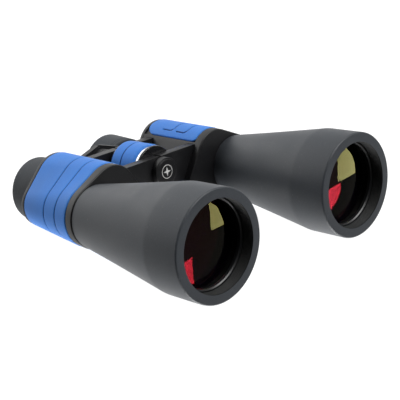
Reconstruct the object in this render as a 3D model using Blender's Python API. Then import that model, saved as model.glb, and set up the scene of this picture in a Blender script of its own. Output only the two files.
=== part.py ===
"""Large Porro-prism binoculars for astronomy, built from separate pieces.

World frame: +Z is up, the objectives look along -Y, the eyepieces are at +Y and +X is the user's
left. The origin is on the resting surface, under the middle of the length and between the barrels.

Lengths below are in millimetres and are turned into metres where a mesh is made. A station is a
distance behind the objective rims. A height is measured from the plane of the objective axes.
"""

import math

import bmesh
import bpy
from mathutils import Matrix, Vector

MM = 0.001
LENGTH = 225.5
RUNNING_GAP = 0.3
CUT_MARGIN = 1.0
WELD_DISTANCE = 1e-6
SMOOTH_ANGLE = math.radians(35)
LEFT = 1
RIGHT = -1
SUFFIX = {LEFT: "_l", RIGHT: "_r"}

# Optical axes, as (x, height) on the left half; the right half is its mirror image.
OBJECTIVE_AXIS = (67.44, 0.0)
MIDDLE_AXIS = (48.55, 13.25)
EYEPIECE_AXIS = (35.3, -5.7)
HINGE_AXIS = (0.0, 12.87)

# Objective barrel.
RIM_RADIUS = 36.65
RIM_CHAMFER = 0.75
APERTURE_RADIUS = 30.0
HOOD_END = 28.6
HOOD_END_RADIUS = 36.37
NECK_STATION = 115.0
NECK_RADIUS = 22.24
FLARE_DIP = 0.21
FLARE_STEPS = 3
SPIGOT_RADIUS = 18.6
SPIGOT_END = 121.5
BARREL_WALL = 2.2
LENS_SEAT = 23.5
LENS_SEAT_END = 27.5
LENS_SEAT_RADIUS = 27.5
THROAT_STATION = 110.0

# Objective doublet and its threaded ring.
LENS_RADIUS = 29.7
CROWN_FRONT = 9.5
CROWN_REAR = 19.8
CROWN_FRONT_CURVE = 140.0
CROWN_REAR_CURVE = 110.0
FLINT_REAR = 23.1
LENS_RING_FRONT = 8.8
LENS_RING_REAR = 12.1
LENS_RING_BORE = 28.3

# Prism housing: each section is the outline stretched round three circles (x, height, radius).
HOUSING_FRONT = 115.0
HOUSING_REAR = 176.0
FRONT_CIRCLES = ((67.44, 0.0, 23.0), (50.5, 11.2, 20.0), (35.3, -5.7, 16.0))
REAR_CIRCLES = ((67.44, 0.0, 16.3), (50.2, 12.0, 20.2), (35.3, -5.7, 16.0))
FRONT_PLATE_END = 118.5
FLANGE_END = 122.0
ARMOUR_TOP = math.radians(138.5)
ARMOUR_BOTTOM = math.radians(-95.0)
ARMOUR_RECESS = 1.3
ARMOUR_PROUD = 0.4
COVERED_WALL = 1.6
BARE_WALL = 2.2
SECTION_STATIONS = (122.0, 136.0, 149.0, 162.0, 176.0)

# Hinge: two lugs on each half meet round one tube.
LUG_TOP = 23.6
LUG_BOTTOM = 1.0
LUG_ROOT_DEPTH = 1.2
FRONT_LUG = (121.0, 128.0)
REAR_LUG = (165.0, 172.0)
EAR_RADIUS = 9.3
EAR_CLEARANCE_RADIUS = 9.6
UPPER_SPLIT = math.radians(85.5)
LOWER_SPLIT = math.radians(-73.0)
HINGE_BORE = 6.8
TUBE_RADIUS = 6.5
TUBE_BORE = 4.9
TUBE_ENDS = (118.6, 174.0)
NUT_ENDS = (118.6, 119.7)
FRONT_WASHER_ENDS = (120.0, 120.7)
REAR_WASHER_ENDS = (172.3, 172.8)
CLIP_ENDS = (173.1, 173.9)
CAP_FRONT = 115.5
CAP_SKIRT_END = 120.7
CAP_RADIUS = 10.2
CAP_EDGE = 0.4
CAP_BORE = 9.6
CAP_FACE = 2.0
CAP_PLUG_RADIUS = 2.8
CAP_PLUG_END = 124.0
BUSH_ENDS = (118.9, 131.0)
BUSH_RADIUS = 4.6
BUSH_BORE = 3.2
COLLAR_ENDS = (128.3, 132.4)
COLLAR_FLANGE_END = 129.9
COLLAR_FLANGE_RADIUS = 17.3
COLLAR_CHAMFER = 0.5
COLLAR_RADIUS = 15.1
REAR_SLEEVE_ENDS = (157.9, 164.7)
REAR_SLEEVE_RADIUS = 12.0

# Focus wheel and the post that it moves.
WHEEL_ENDS = (132.7, 157.6)
WHEEL_RADIUS = 17.6
WHEEL_CROWN = 1.2
WHEEL_GROOVE = 147.0
WHEEL_GROOVE_WIDTH = 1.2
WHEEL_GROOVE_DEPTH = 0.7
WHEEL_CHAMBER = (138.5, 154.0)
WHEEL_CHAMBER_RADIUS = 8.6
WHEEL_RING_ENDS = (130.2, 132.4)
WHEEL_RING_RADII = (15.4, 16.5)
POST_RADIUS = 4.6
POST_ENDS = (139.0, 192.8)
END_SCREW_TIP = 186.0
END_SCREW_RADIUS = 2.2
END_HEAD_RADIUS = 7.5
END_HEAD_HEIGHT = 2.0
KEY_STATION = 145.0
KEY_RADIUS = 1.3
KEY_REACH = 8.2
SLOT_ENDS = (139.9, 152.8)
SLOT_WIDTH = 3.4
SLEEVE_ENDS = (178.0, 188.3)
SLEEVE_RADIUS = 8.0

# Prisms, their shelf and their clips.
PRISM_RADIUS = 11.0
PRISM_DEPTH = 22.5
SHELF_ENDS = (147.0, 149.0)
SHELF_INSET = 4.3
SHELF_HOLE_RADIUS = 10.0
PRISM_GAP = 0.4
CLIP_WIDTH = 6.0
CLIP_THICKNESS = 0.8

# Rear cover.
COVER_ENDS = (176.3, 180.2)
COVER_CHAMFER = 1.5
GUIDE_RADIUS = 15.5
GUIDE_END = 184.9
GUIDE_BORE = 13.0
SCREW_HEAD_RADIUS = 2.2
SCREW_HEAD_HEIGHT = 1.2
SCREW_SHANK_RADIUS = 1.1
SCREW_HOLE_RADIUS = 1.4
SCREW_INSET = 4.6
SCREW_PLACES = {"outer": (0, 25.0), "lower": (0, -80.0), "top": (1, 105.0)}

# Eyepieces and the arms that carry them.
ARM_ENDS = (188.6, 193.0)
ARM_RING_RADIUS = 17.5
TUBE_FRONT = 175.0
EYE_TUBE_RADIUS = 12.7
EYE_TUBE_BORE = 11.2
DIOPTRE_ENDS = (193.4, 198.4)
COLLAR_END = 200.1
GRIP_RADIUS = 21.4
EYE_BODY_ENDS = (200.4, 216.0)
EYE_BODY_RADIUS = 20.0
EYE_BODY_BORE = 16.9
EYE_BODY_FLOOR = 203.0
FIELD_LENS_ENDS = (177.0, 181.0)
FIELD_LENS_RADIUS = 10.9
FIELD_LENS_CURVE = 40.0
EYE_LENS_ENDS = (204.0, 211.0)
EYE_LENS_RADIUS = 16.6
EYE_LENS_CURVE = 60.0
EYE_RING_ENDS = (211.6, 214.0)
EYE_RING_BORE = 14.5
EYECUP_RADIUS = 24.4
EYECUP_FRONT_RADIUS = 23.2
EYECUP_EDGE = 0.5
EYECUP_BORE = 20.3
EYECUP_LIP_START = 222.5
EYECUP_MOUTH = 16.5
EYECUP_ROUND = 1.4

ROUND_STEPS = 32
SMALL_STEPS = 20
TINY_STEPS = 8
EAR_STEPS = 16
FLANK_STEPS = 2
INNER_STEPS = 8
LOWER_STEPS = 1
OUTER_STEPS = 10
TOP_STEPS = 6
LENS_STEPS = 2
STADIUM_STEPS = 6


# Finishes as (colour, roughness, metallic).
GREY_RUBBER = ((0.075, 0.08, 0.085), 0.55, 0.0)
BLUE_RUBBER = ((0.09, 0.22, 0.6), 0.5, 0.0)
BLACK_PLASTIC = ((0.03, 0.03, 0.032), 0.4, 0.0)
COATED_GLASS = ((0.12, 0.04, 0.12), 0.05, 0.0)
CLEAR_GLASS = ((0.6, 0.65, 0.7), 0.05, 0.0)
STEEL = ((0.35, 0.35, 0.36), 0.35, 1.0)
BRASS = ((0.6, 0.45, 0.2), 0.35, 1.0)
CHROME = ((0.8, 0.8, 0.8), 0.12, 1.0)

# The left half stands still; the right half hangs on the fold axis once main has made it.
SIDE_PIVOTS = {LEFT: None, RIGHT: None}


def clear_scene():
    """Remove every object that the file starts with."""
    for old in list(bpy.data.objects):
        bpy.data.objects.remove(old, do_unlink=True)


def place(x, station, height):
    """Return the world position, in metres, of a point given in millimetres."""
    return Vector((x * MM, (station - LENGTH / 2) * MM, (height + RIM_RADIUS) * MM))


def make_material(name, color, roughness, metallic=0.0):
    """Return a plain Principled material."""
    material = bpy.data.materials.new(name)
    material.use_nodes = True
    shader = material.node_tree.nodes["Principled BSDF"]
    shader.inputs["Base Color"].default_value = (*color, 1.0)
    shader.inputs["Roughness"].default_value = roughness
    shader.inputs["Metallic"].default_value = metallic
    return material


def make_pivot(name, position, parent=None):
    """Return an empty on a joint's axis, under another empty if one is given."""
    pivot = bpy.data.objects.new(name, None)
    pivot["world"] = position[:]
    pivot.location = position - Vector(parent["world"]) if parent else position
    pivot.parent = parent
    bpy.context.collection.objects.link(pivot)
    return pivot


def add_object(name, bm, material, pivot=None):
    """Turn a bmesh in world coordinates into an object whose origin is on its pivot."""
    bmesh.ops.remove_doubles(bm, verts=bm.verts, dist=WELD_DISTANCE)
    bmesh.ops.recalc_face_normals(bm, faces=bm.faces)
    bmesh.ops.triangulate(bm, faces=bm.faces)
    mesh = bpy.data.meshes.new(name)
    bm.to_mesh(mesh)
    bm.free()
    mesh.shade_smooth()
    mesh.set_sharp_from_angle(angle=SMOOTH_ANGLE)
    obj = bpy.data.objects.new(name, mesh)
    bpy.context.collection.objects.link(obj)
    if pivot:
        mesh.transform(Matrix.Translation(-Vector(pivot["world"])))
        obj.parent = pivot
    if material:
        mesh.materials.append(make_material(name, *material))
    return obj


def combine(obj, tool_bm, operation):
    """Cut from obj, or join to it, the shape in tool_bm with a Boolean modifier."""
    tool = add_object(f"{obj.name}_tool", tool_bm, None)
    tool.hide_render = True
    tool.display_type = "WIRE"
    modifier = obj.modifiers.new(tool.name, "BOOLEAN")
    modifier.operation = operation
    modifier.solver = "EXACT"
    modifier.object = tool


def turned(profile, axis, steps):
    """Return a bmesh of a (station, radius) profile turned round an axis parallel to Y.

    A profile that starts and ends at radius 0 is solid; any other is closed into a ring.
    """
    bm = bmesh.new()
    verts = [bm.verts.new(place(axis[0] + radius, station, axis[1])) for station, radius in profile]
    edges = [bm.edges.new(pair) for pair in zip(verts, verts[1:])]
    if profile[0][1] > 0:
        edges.append(bm.edges.new((verts[-1], verts[0])))
    bmesh.ops.spin(bm, geom=verts + edges, cent=place(axis[0], 0, axis[1]), axis=(0, 1, 0),
                   dvec=(0, 0, 0), angle=math.tau, steps=steps)
    bmesh.ops.remove_doubles(bm, verts=bm.verts, dist=WELD_DISTANCE)
    return bm


def tube(ends, outer, bore, axis, steps=SMALL_STEPS):
    """Return a bmesh of a plain ring or tube between two stations."""
    front, rear = ends
    return turned([(front, outer), (rear, outer), (rear, bore), (front, bore)], axis, steps)


def rod(ends, radius, axis, steps=SMALL_STEPS):
    """Return a bmesh of a solid rod between two stations."""
    front, rear = ends
    return turned([(front, 0), (front, radius), (rear, radius), (rear, 0)], axis, steps)


def lofted(rings):
    """Return a bmesh that joins rings of world points in order and closes both ends."""
    bm = bmesh.new()
    loops = [[bm.verts.new(point) for point in ring] for ring in rings]
    for loop, following in zip(loops, loops[1:]):
        for i in range(len(loop)):
            bm.faces.new((loop[i - 1], loop[i], following[i], following[i - 1]))
    bm.faces.new(loops[0])
    bm.faces.new(loops[-1])
    return bm


def extruded(outline, ends):
    """Return a bmesh of an (x, height) outline carried from one station to another."""
    return lofted([[place(x, station, height) for x, height in outline] for station in ends])


def polar(centre, radius, angle):
    """Return the (x, height) point at a distance and an angle from a centre."""
    return centre[0] + radius * math.cos(angle), centre[1] + radius * math.sin(angle)


def arc(centre, radius, start, end, steps):
    """Return (x, height) points along an arc, both ends included."""
    return [polar(centre, radius, start + (end - start) * i / steps) for i in range(steps + 1)]


def circles_at(station):
    """Return the three circles that carry the housing's outline at a station."""
    share = (station - HOUSING_FRONT) / (HOUSING_REAR - HOUSING_FRONT)
    return [tuple(a + (b - a) * share for a, b in zip(front, rear))
            for front, rear in zip(FRONT_CIRCLES, REAR_CIRCLES)]


def switch_angle(first, second):
    """Return the facing angle where the outline leaves one circle for the next, anticlockwise."""
    edge = math.atan2(second[1] - first[1], second[0] - first[0])
    return edge - math.acos((first[2] - second[2]) / math.dist(first[:2], second[:2]))


def circle_arc(circle, start, end, offset, steps):
    """Return points of one of the outline's circles, moved out by offset."""
    return arc(circle[:2], circle[2] + offset, start, end, steps)


def covered_outline(station, offset, slack=0.0):
    """Return the outline under the armour, from its lower edge round the outside to its top."""
    outer, middle, inner = circles_at(station)
    lower, upper = switch_angle(inner, outer), switch_angle(outer, middle)
    return (circle_arc(inner, ARMOUR_BOTTOM + slack, lower, offset, LOWER_STEPS)
            + circle_arc(outer, lower, upper, offset, OUTER_STEPS)
            + circle_arc(middle, upper, ARMOUR_TOP - slack, offset, TOP_STEPS))


def bare_outline(station, offset):
    """Return the outline that the armour leaves bare, from its top down the flank."""
    _, middle, inner = circles_at(station)
    flank = switch_angle(middle, inner) % math.tau
    return (circle_arc(middle, ARMOUR_TOP, flank, offset, FLANK_STEPS)
            + circle_arc(inner, flank, ARMOUR_BOTTOM + math.tau, offset, INNER_STEPS))


def housing_outline(station, bare_offset, covered_offset):
    """Return one closed outline, stepped where the armour's edges lie."""
    return bare_outline(station, bare_offset) + covered_outline(station, covered_offset)


def housing_ring(side, station, bare_offset, covered_offset):
    """Return one closed world ring of the housing."""
    return [place(side * x, station, height)
            for x, height in housing_outline(station, bare_offset, covered_offset)]


def mirrored(outline, side):
    """Return the outline on the left half, or its mirror image on the right half."""
    return [(side * x, height) for x, height in outline]


def on_side(axis, side):
    """Return an axis of the left half carried to the given half."""
    return side * axis[0], axis[1]


def knuckle_outline(far_points, upper_height, lower_height, radius, owns_ear):
    """Return a lug's outline round the hinge, with its ear or cleared for the other half's ear.

    far_points run from the lower to the upper edge, on the side away from the hinge.
    """
    upper = (upper_height - HINGE_AXIS[1]) / math.sin(UPPER_SPLIT)
    lower = (lower_height - HINGE_AXIS[1]) / math.sin(LOWER_SPLIT)
    end = LOWER_SPLIT + math.tau if owns_ear else LOWER_SPLIT
    return ([polar(HINGE_AXIS, upper, UPPER_SPLIT)]
            + arc(HINGE_AXIS, radius, UPPER_SPLIT, end, EAR_STEPS)
            + [polar(HINGE_AXIS, lower, LOWER_SPLIT)] + far_points)


def knuckle(side, ends, far_points, upper_height=LUG_TOP, lower_height=LUG_BOTTOM):
    """Return a bmesh of a lug whose ear takes the front half (left) or the rear half (right)."""
    ear = knuckle_outline(far_points, upper_height, lower_height, EAR_RADIUS, True)
    clear = knuckle_outline(far_points, upper_height, lower_height, EAR_CLEARANCE_RADIUS, False)
    middle = (ends[0] + ends[1]) / 2 - side * RUNNING_GAP / 2
    order = ((ear, ends[0]), (ear, middle), (clear, middle), (clear, ends[1]))
    if side == RIGHT:
        order = ((clear, ends[0]), (clear, middle), (ear, middle), (ear, ends[1]))
    return lofted([[place(side * x, station, height) for x, height in outline]
                   for outline, station in order])


def flank_points(station):
    """Return the far points of a lug, just inside the housing's flank at a station."""
    _, middle, inner = circles_at(station)
    lower = math.pi - math.asin((LUG_BOTTOM - inner[1]) / (inner[2] - LUG_ROOT_DEPTH))
    upper = math.pi - math.asin((LUG_TOP - middle[1]) / (middle[2] - LUG_ROOT_DEPTH))
    flank = switch_angle(middle, inner) % math.tau
    return (circle_arc(inner, lower, flank, -LUG_ROOT_DEPTH, 1)
            + circle_arc(middle, flank, upper, -LUG_ROOT_DEPTH, FLANK_STEPS))


def flare_radius(station):
    """Return the barrel's outer radius between the hood and the neck, slightly hollow."""
    share = (station - HOOD_END) / (NECK_STATION - HOOD_END)
    straight = HOOD_END_RADIUS + (NECK_RADIUS - HOOD_END_RADIUS) * share
    return straight - FLARE_DIP * 4 * share * (1 - share)


def sphere_sag(radius, curve):
    """Return how far a spherical surface has fallen away at a distance from its axis."""
    return curve - math.sqrt(curve * curve - radius * radius)


def lens_profile(radius, front, rear, front_curve, rear_curve):
    """Return a lens profile; a positive curve bulges forwards in front and backwards behind.

    A curve of 0 is a flat surface.
    """
    shares = [i / LENS_STEPS for i in range(LENS_STEPS + 1)]

    def sag(share, curve):
        return math.copysign(sphere_sag(radius * share, abs(curve)), curve) if curve else 0.0

    face = [(front + sag(share, front_curve), radius * share) for share in shares]
    back = [(rear - sag(share, rear_curve), radius * share) for share in reversed(shares)]
    return face + back


def build_objective(side, rubber, black, glass):
    """Make one objective barrel with its doublet and threaded lens ring."""
    axis = on_side(OBJECTIVE_AXIS, side)
    name = SUFFIX[side]
    pivot = SIDE_PIVOTS[side]
    flare = [HOOD_END + (NECK_STATION - HOOD_END) * i / FLARE_STEPS for i in range(FLARE_STEPS + 1)]
    outside = [(0.0, RIM_RADIUS - RIM_CHAMFER), (RIM_CHAMFER, RIM_RADIUS)]
    outside += [(station, flare_radius(station)) for station in flare]
    outside += [(NECK_STATION, SPIGOT_RADIUS), (SPIGOT_END, SPIGOT_RADIUS)]
    inside = [(SPIGOT_END, SPIGOT_RADIUS - BARREL_WALL), (NECK_STATION, SPIGOT_RADIUS - BARREL_WALL),
              (THROAT_STATION, NECK_RADIUS - BARREL_WALL), (LENS_SEAT_END, LENS_SEAT_RADIUS),
              (LENS_SEAT, LENS_SEAT_RADIUS), (LENS_SEAT, APERTURE_RADIUS), (0.0, APERTURE_RADIUS)]
    add_object("objective_barrel" + name, turned(outside + inside, axis, ROUND_STEPS), rubber, pivot)
    crown = lens_profile(LENS_RADIUS, CROWN_FRONT, CROWN_REAR, CROWN_FRONT_CURVE, CROWN_REAR_CURVE)
    add_object("crown_lens" + name, turned(crown, axis, SMALL_STEPS), glass, pivot)
    flint = lens_profile(LENS_RADIUS, CROWN_REAR + RUNNING_GAP, FLINT_REAR, -CROWN_REAR_CURVE, 0)
    add_object("flint_lens" + name, turned(flint, axis, SMALL_STEPS), glass, pivot)
    ring = tube((LENS_RING_FRONT, LENS_RING_REAR), LENS_RADIUS, LENS_RING_BORE, axis, ROUND_STEPS)
    add_object("lens_retaining_ring" + name, ring, black, pivot)


def build_housing(side, plastic):
    """Make one prism housing: a shell open at the rear, with two hinge lugs and a barrel hole."""
    rings = [housing_ring(side, HOUSING_FRONT, 0, 0), housing_ring(side, FLANGE_END, 0, 0)]
    rings += [housing_ring(side, station, 0, -ARMOUR_RECESS) for station in SECTION_STATIONS]
    covered = -ARMOUR_RECESS - COVERED_WALL
    rings += [housing_ring(side, station, -BARE_WALL, covered) for station in SECTION_STATIONS[::-1]]
    rings.append(housing_ring(side, FRONT_PLATE_END, -BARE_WALL, covered))
    housing = add_object("prism_housing" + SUFFIX[side], lofted(rings), plastic, SIDE_PIVOTS[side])
    for ends in (FRONT_LUG, REAR_LUG):
        far_points = flank_points((ends[0] + ends[1]) / 2)
        combine(housing, knuckle(side, ends, far_points), "UNION")
    through = (HOUSING_FRONT - CUT_MARGIN, FRONT_PLATE_END + CUT_MARGIN)
    barrel_hole = rod(through, SPIGOT_RADIUS + RUNNING_GAP, on_side(OBJECTIVE_AXIS, side))
    combine(housing, barrel_hole, "DIFFERENCE")
    hinge_ends = (FRONT_LUG[0] - CUT_MARGIN, REAR_LUG[1] + CUT_MARGIN)
    combine(housing, rod(hinge_ends, HINGE_BORE, HINGE_AXIS), "DIFFERENCE")


def build_armour(side, rubber):
    """Make the rubber cover that wraps round the outside of one housing."""
    slack = RUNNING_GAP / REAR_CIRCLES[0][2]
    stations = list(SECTION_STATIONS)
    stations[0] += RUNNING_GAP
    stations[-1] -= RUNNING_GAP
    rings = []
    for station in stations:
        skin = covered_outline(station, ARMOUR_PROUD, slack)
        lining = covered_outline(station, RUNNING_GAP - ARMOUR_RECESS, slack)
        rings.append([place(side * x, station, height) for x, height in skin + lining[::-1]])
    add_object("armour" + SUFFIX[side], lofted(rings), rubber, SIDE_PIVOTS[side])


def build_rear_cover(side, plastic, steel):
    """Make one rear cover with its eyepiece guide, and the screws that hold it."""
    front, rear = COVER_ENDS
    sections = ((front, 0.0), (rear - COVER_CHAMFER, 0.0), (rear, -COVER_CHAMFER))
    rings = [[place(side * x, station, height)
              for x, height in housing_outline(HOUSING_REAR, inset, inset)]
             for station, inset in sections]
    cover = add_object("rear_cover" + SUFFIX[side], lofted(rings), plastic, SIDE_PIVOTS[side])
    axis = on_side(EYEPIECE_AXIS, side)
    combine(cover, rod((rear - COVER_CHAMFER, GUIDE_END), GUIDE_RADIUS, axis), "UNION")
    combine(cover, rod((front - CUT_MARGIN, GUIDE_END + CUT_MARGIN), GUIDE_BORE, axis), "DIFFERENCE")
    head_base = rear + RUNNING_GAP
    head_top = head_base + SCREW_HEAD_HEIGHT
    profile = [(front, 0), (front, SCREW_SHANK_RADIUS), (head_base, SCREW_SHANK_RADIUS),
               (head_base, SCREW_HEAD_RADIUS), (head_top, SCREW_HEAD_RADIUS), (head_top, 0)]
    for label, (circle, angle) in SCREW_PLACES.items():
        x, height, radius = REAR_CIRCLES[circle]
        centre = on_side(polar((x, height), radius - SCREW_INSET, math.radians(angle)), side)
        hole = rod((front - CUT_MARGIN, rear + CUT_MARGIN), SCREW_HOLE_RADIUS, centre, TINY_STEPS)
        combine(cover, hole, "DIFFERENCE")
        add_object(f"cover_screw_{label}{SUFFIX[side]}", turned(profile, centre, TINY_STEPS), steel,
                   SIDE_PIVOTS[side])


def prism_frame(start, end):
    """Return the middle, the unit direction and the half span between two beam axes."""
    middle = ((start[0] + end[0]) / 2, (start[1] + end[1]) / 2)
    span = math.dist(start, end)
    return middle, ((end[0] - start[0]) / span, (end[1] - start[1]) / span), span / 2


def wedge_point(side, frame, along, across, station):
    """Return a world point given along and across a prism's long direction."""
    (x, height), (dx, dz), _ = frame
    return place(side * (x + along * dx - across * dz), station, height + along * dz + across * dx)


def wedge(side, frame, outline, half_width):
    """Return a bmesh of an (along, station) outline carried across a prism."""
    return lofted([[wedge_point(side, frame, along, across, station) for along, station in outline]
                   for across in (-half_width, half_width)])


def build_prism(side, label, start, end, base, direction, glass, steel):
    """Make one right-angle prism with round ends, and the sprung strap over its ridge."""
    frame = prism_frame(start, end)
    ridge = base + direction * PRISM_DEPTH
    triangle = [(-PRISM_DEPTH, base), (PRISM_DEPTH, base), (0, ridge)]
    prism = add_object(f"{label}_prism{SUFFIX[side]}", wedge(side, frame, triangle, PRISM_RADIUS),
                       glass, SIDE_PIVOTS[side])
    reach = frame[2]
    turn = math.atan2(frame[1][1], frame[1][0])
    stadium = arc(end, PRISM_RADIUS, turn - math.pi / 2, turn + math.pi / 2, STADIUM_STEPS)
    stadium += arc(start, PRISM_RADIUS, turn + math.pi / 2, turn + math.pi * 3 / 2, STADIUM_STEPS)
    limits = sorted((base - direction, ridge + direction))
    combine(prism, extruded(mirrored(stadium, side), limits), "INTERSECT")
    near, far = PRISM_GAP, PRISM_GAP + CLIP_THICKNESS * math.sqrt(2)
    foot = base + direction * (PRISM_DEPTH - reach)
    strap = [(-reach, foot + direction * far), (-reach, foot + direction * near),
             (0, ridge + direction * near), (reach, foot + direction * near),
             (reach, foot + direction * far), (0, ridge + direction * far)]
    clip = wedge(side, frame, strap, CLIP_WIDTH / 2)
    add_object(f"{label}_prism_clip{SUFFIX[side]}", clip, steel, SIDE_PIVOTS[side])


def build_prism_set(side, plastic, glass, steel):
    """Make one side's shelf and the two crossed prisms on either face of it."""
    middle = (SHELF_ENDS[0] + SHELF_ENDS[1]) / 2
    outline = housing_outline(middle, -SHELF_INSET, -SHELF_INSET)
    shelf = add_object("prism_shelf" + SUFFIX[side], extruded(mirrored(outline, side), SHELF_ENDS),
                       plastic, SIDE_PIVOTS[side])
    for axis in (OBJECTIVE_AXIS, MIDDLE_AXIS, EYEPIECE_AXIS):
        through = (SHELF_ENDS[0] - CUT_MARGIN, SHELF_ENDS[1] + CUT_MARGIN)
        hole = rod(through, SHELF_HOLE_RADIUS, on_side(axis, side))
        combine(shelf, hole, "DIFFERENCE")
    build_prism(side, "rear", OBJECTIVE_AXIS, MIDDLE_AXIS, SHELF_ENDS[1] + PRISM_GAP, 1,
                glass, steel)
    build_prism(side, "front", EYEPIECE_AXIS, MIDDLE_AXIS, SHELF_ENDS[0] - PRISM_GAP, -1,
                glass, steel)


def tangent_angle(centre, radius, point, turn):
    """Return the angle on a circle where the tangent from a point touches it."""
    distance = math.dist(centre, point)
    facing = math.atan2(point[1] - centre[1], point[0] - centre[0])
    return facing + turn * math.acos(radius / distance)


def build_arm(side, plastic, pivot):
    """Make the arm that carries one eyepiece from the bridge post."""
    upper = (HINGE_AXIS[0], LUG_TOP)
    lower = (HINGE_AXIS[0], LUG_BOTTOM)
    start = tangent_angle(EYEPIECE_AXIS, ARM_RING_RADIUS, lower, 1) - math.tau
    end = tangent_angle(EYEPIECE_AXIS, ARM_RING_RADIUS, upper, -1)
    far_points = arc(EYEPIECE_AXIS, ARM_RING_RADIUS, start, end, SMALL_STEPS)
    arm = add_object("ocular_arm" + SUFFIX[side], knuckle(side, ARM_ENDS, far_points), plastic, pivot)
    through = (ARM_ENDS[0] - CUT_MARGIN, ARM_ENDS[1] + CUT_MARGIN)
    combine(arm, rod(through, GUIDE_BORE, on_side(EYEPIECE_AXIS, side)), "DIFFERENCE")
    combine(arm, rod(through, TUBE_BORE, HINGE_AXIS), "DIFFERENCE")


def build_eyepiece(side, plastic, rubber, glass, pivot):
    """Make one eyepiece: its tube, its two lenses, the ring that holds them and the eyecup."""
    axis = on_side(EYEPIECE_AXIS, side)
    name = SUFFIX[side]
    body_front, body_rear = EYE_BODY_ENDS
    shell = [(TUBE_FRONT, EYE_TUBE_RADIUS), (body_front, EYE_TUBE_RADIUS),
             (body_front, EYE_BODY_RADIUS), (body_rear, EYE_BODY_RADIUS), (body_rear, EYE_BODY_BORE),
             (EYE_BODY_FLOOR, EYE_BODY_BORE), (EYE_BODY_FLOOR, EYE_TUBE_BORE),
             (TUBE_FRONT, EYE_TUBE_BORE)]
    add_object("eyepiece_tube" + name, turned(shell, axis, SMALL_STEPS), plastic, pivot)
    field = lens_profile(FIELD_LENS_RADIUS, *FIELD_LENS_ENDS, FIELD_LENS_CURVE, 0)
    add_object("field_lens" + name, turned(field, axis, SMALL_STEPS), glass, pivot)
    eye = lens_profile(EYE_LENS_RADIUS, *EYE_LENS_ENDS, EYE_LENS_CURVE, EYE_LENS_CURVE)
    add_object("eye_lens" + name, turned(eye, axis, SMALL_STEPS), glass, pivot)
    ring = tube(EYE_RING_ENDS, EYE_LENS_RADIUS, EYE_RING_BORE, axis)
    add_object("eye_lens_ring" + name, ring, plastic, pivot)
    cup = [(body_front, EYECUP_BORE), (body_front, EYECUP_FRONT_RADIUS - EYECUP_EDGE)]
    cup += [(body_front + EYECUP_EDGE, EYECUP_FRONT_RADIUS), (LENGTH - EYECUP_ROUND, EYECUP_RADIUS),
            (LENGTH, EYECUP_RADIUS - EYECUP_ROUND), (LENGTH, EYECUP_MOUTH),
            (EYECUP_LIP_START, EYECUP_MOUTH), (body_rear + RUNNING_GAP, EYECUP_BORE)]
    add_object("eyecup" + name, turned(cup, axis, SMALL_STEPS), rubber, pivot)


def build_hinge(plastic, steel, brass):
    """Make the tube, nuts, washers, sleeves, socket and cap that sit on the hinge axis."""
    add_object("hinge_tube", tube(TUBE_ENDS, TUBE_RADIUS, TUBE_BORE, HINGE_AXIS), steel)
    slot = [(-KEY_REACH, HINGE_AXIS[1] - SLOT_WIDTH / 2), (KEY_REACH, HINGE_AXIS[1] - SLOT_WIDTH / 2),
            (KEY_REACH, HINGE_AXIS[1] + SLOT_WIDTH / 2), (-KEY_REACH, HINGE_AXIS[1] + SLOT_WIDTH / 2)]
    combine(bpy.data.objects["hinge_tube"], extruded(slot, SLOT_ENDS), "DIFFERENCE")
    rings = {"hinge_nut": (NUT_ENDS, EAR_RADIUS), "front_washer": (FRONT_WASHER_ENDS, EAR_RADIUS),
             "rear_washer": (REAR_WASHER_ENDS, EAR_RADIUS), "retaining_clip": (CLIP_ENDS, EAR_RADIUS)}
    for name, (ends, radius) in rings.items():
        add_object(name, tube(ends, radius, HINGE_BORE, HINGE_AXIS), steel)
    front, rear = COLLAR_ENDS
    collar = [(front, COLLAR_FLANGE_RADIUS - COLLAR_CHAMFER),
              (front + COLLAR_CHAMFER, COLLAR_FLANGE_RADIUS),
              (COLLAR_FLANGE_END, COLLAR_FLANGE_RADIUS), (COLLAR_FLANGE_END, COLLAR_RADIUS),
              (rear, COLLAR_RADIUS), (rear, HINGE_BORE), (front, HINGE_BORE)]
    add_object("hinge_collar", turned(collar, HINGE_AXIS, ROUND_STEPS), plastic)
    add_object("rear_sleeve", tube(REAR_SLEEVE_ENDS, REAR_SLEEVE_RADIUS, HINGE_BORE, HINGE_AXIS),
               plastic)
    add_object("tripod_socket", tube(BUSH_ENDS, BUSH_RADIUS, BUSH_BORE, HINGE_AXIS), brass)
    floor = CAP_FRONT + CAP_FACE
    cap = [(CAP_FRONT, 0), (CAP_FRONT, CAP_RADIUS - CAP_EDGE), (CAP_FRONT + CAP_EDGE, CAP_RADIUS),
           (CAP_SKIRT_END, CAP_RADIUS), (CAP_SKIRT_END, CAP_BORE), (floor, CAP_BORE),
           (floor, CAP_PLUG_RADIUS), (CAP_PLUG_END, CAP_PLUG_RADIUS), (CAP_PLUG_END, 0)]
    add_object("hinge_cap", turned(cap, HINGE_AXIS, SMALL_STEPS), plastic)


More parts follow.
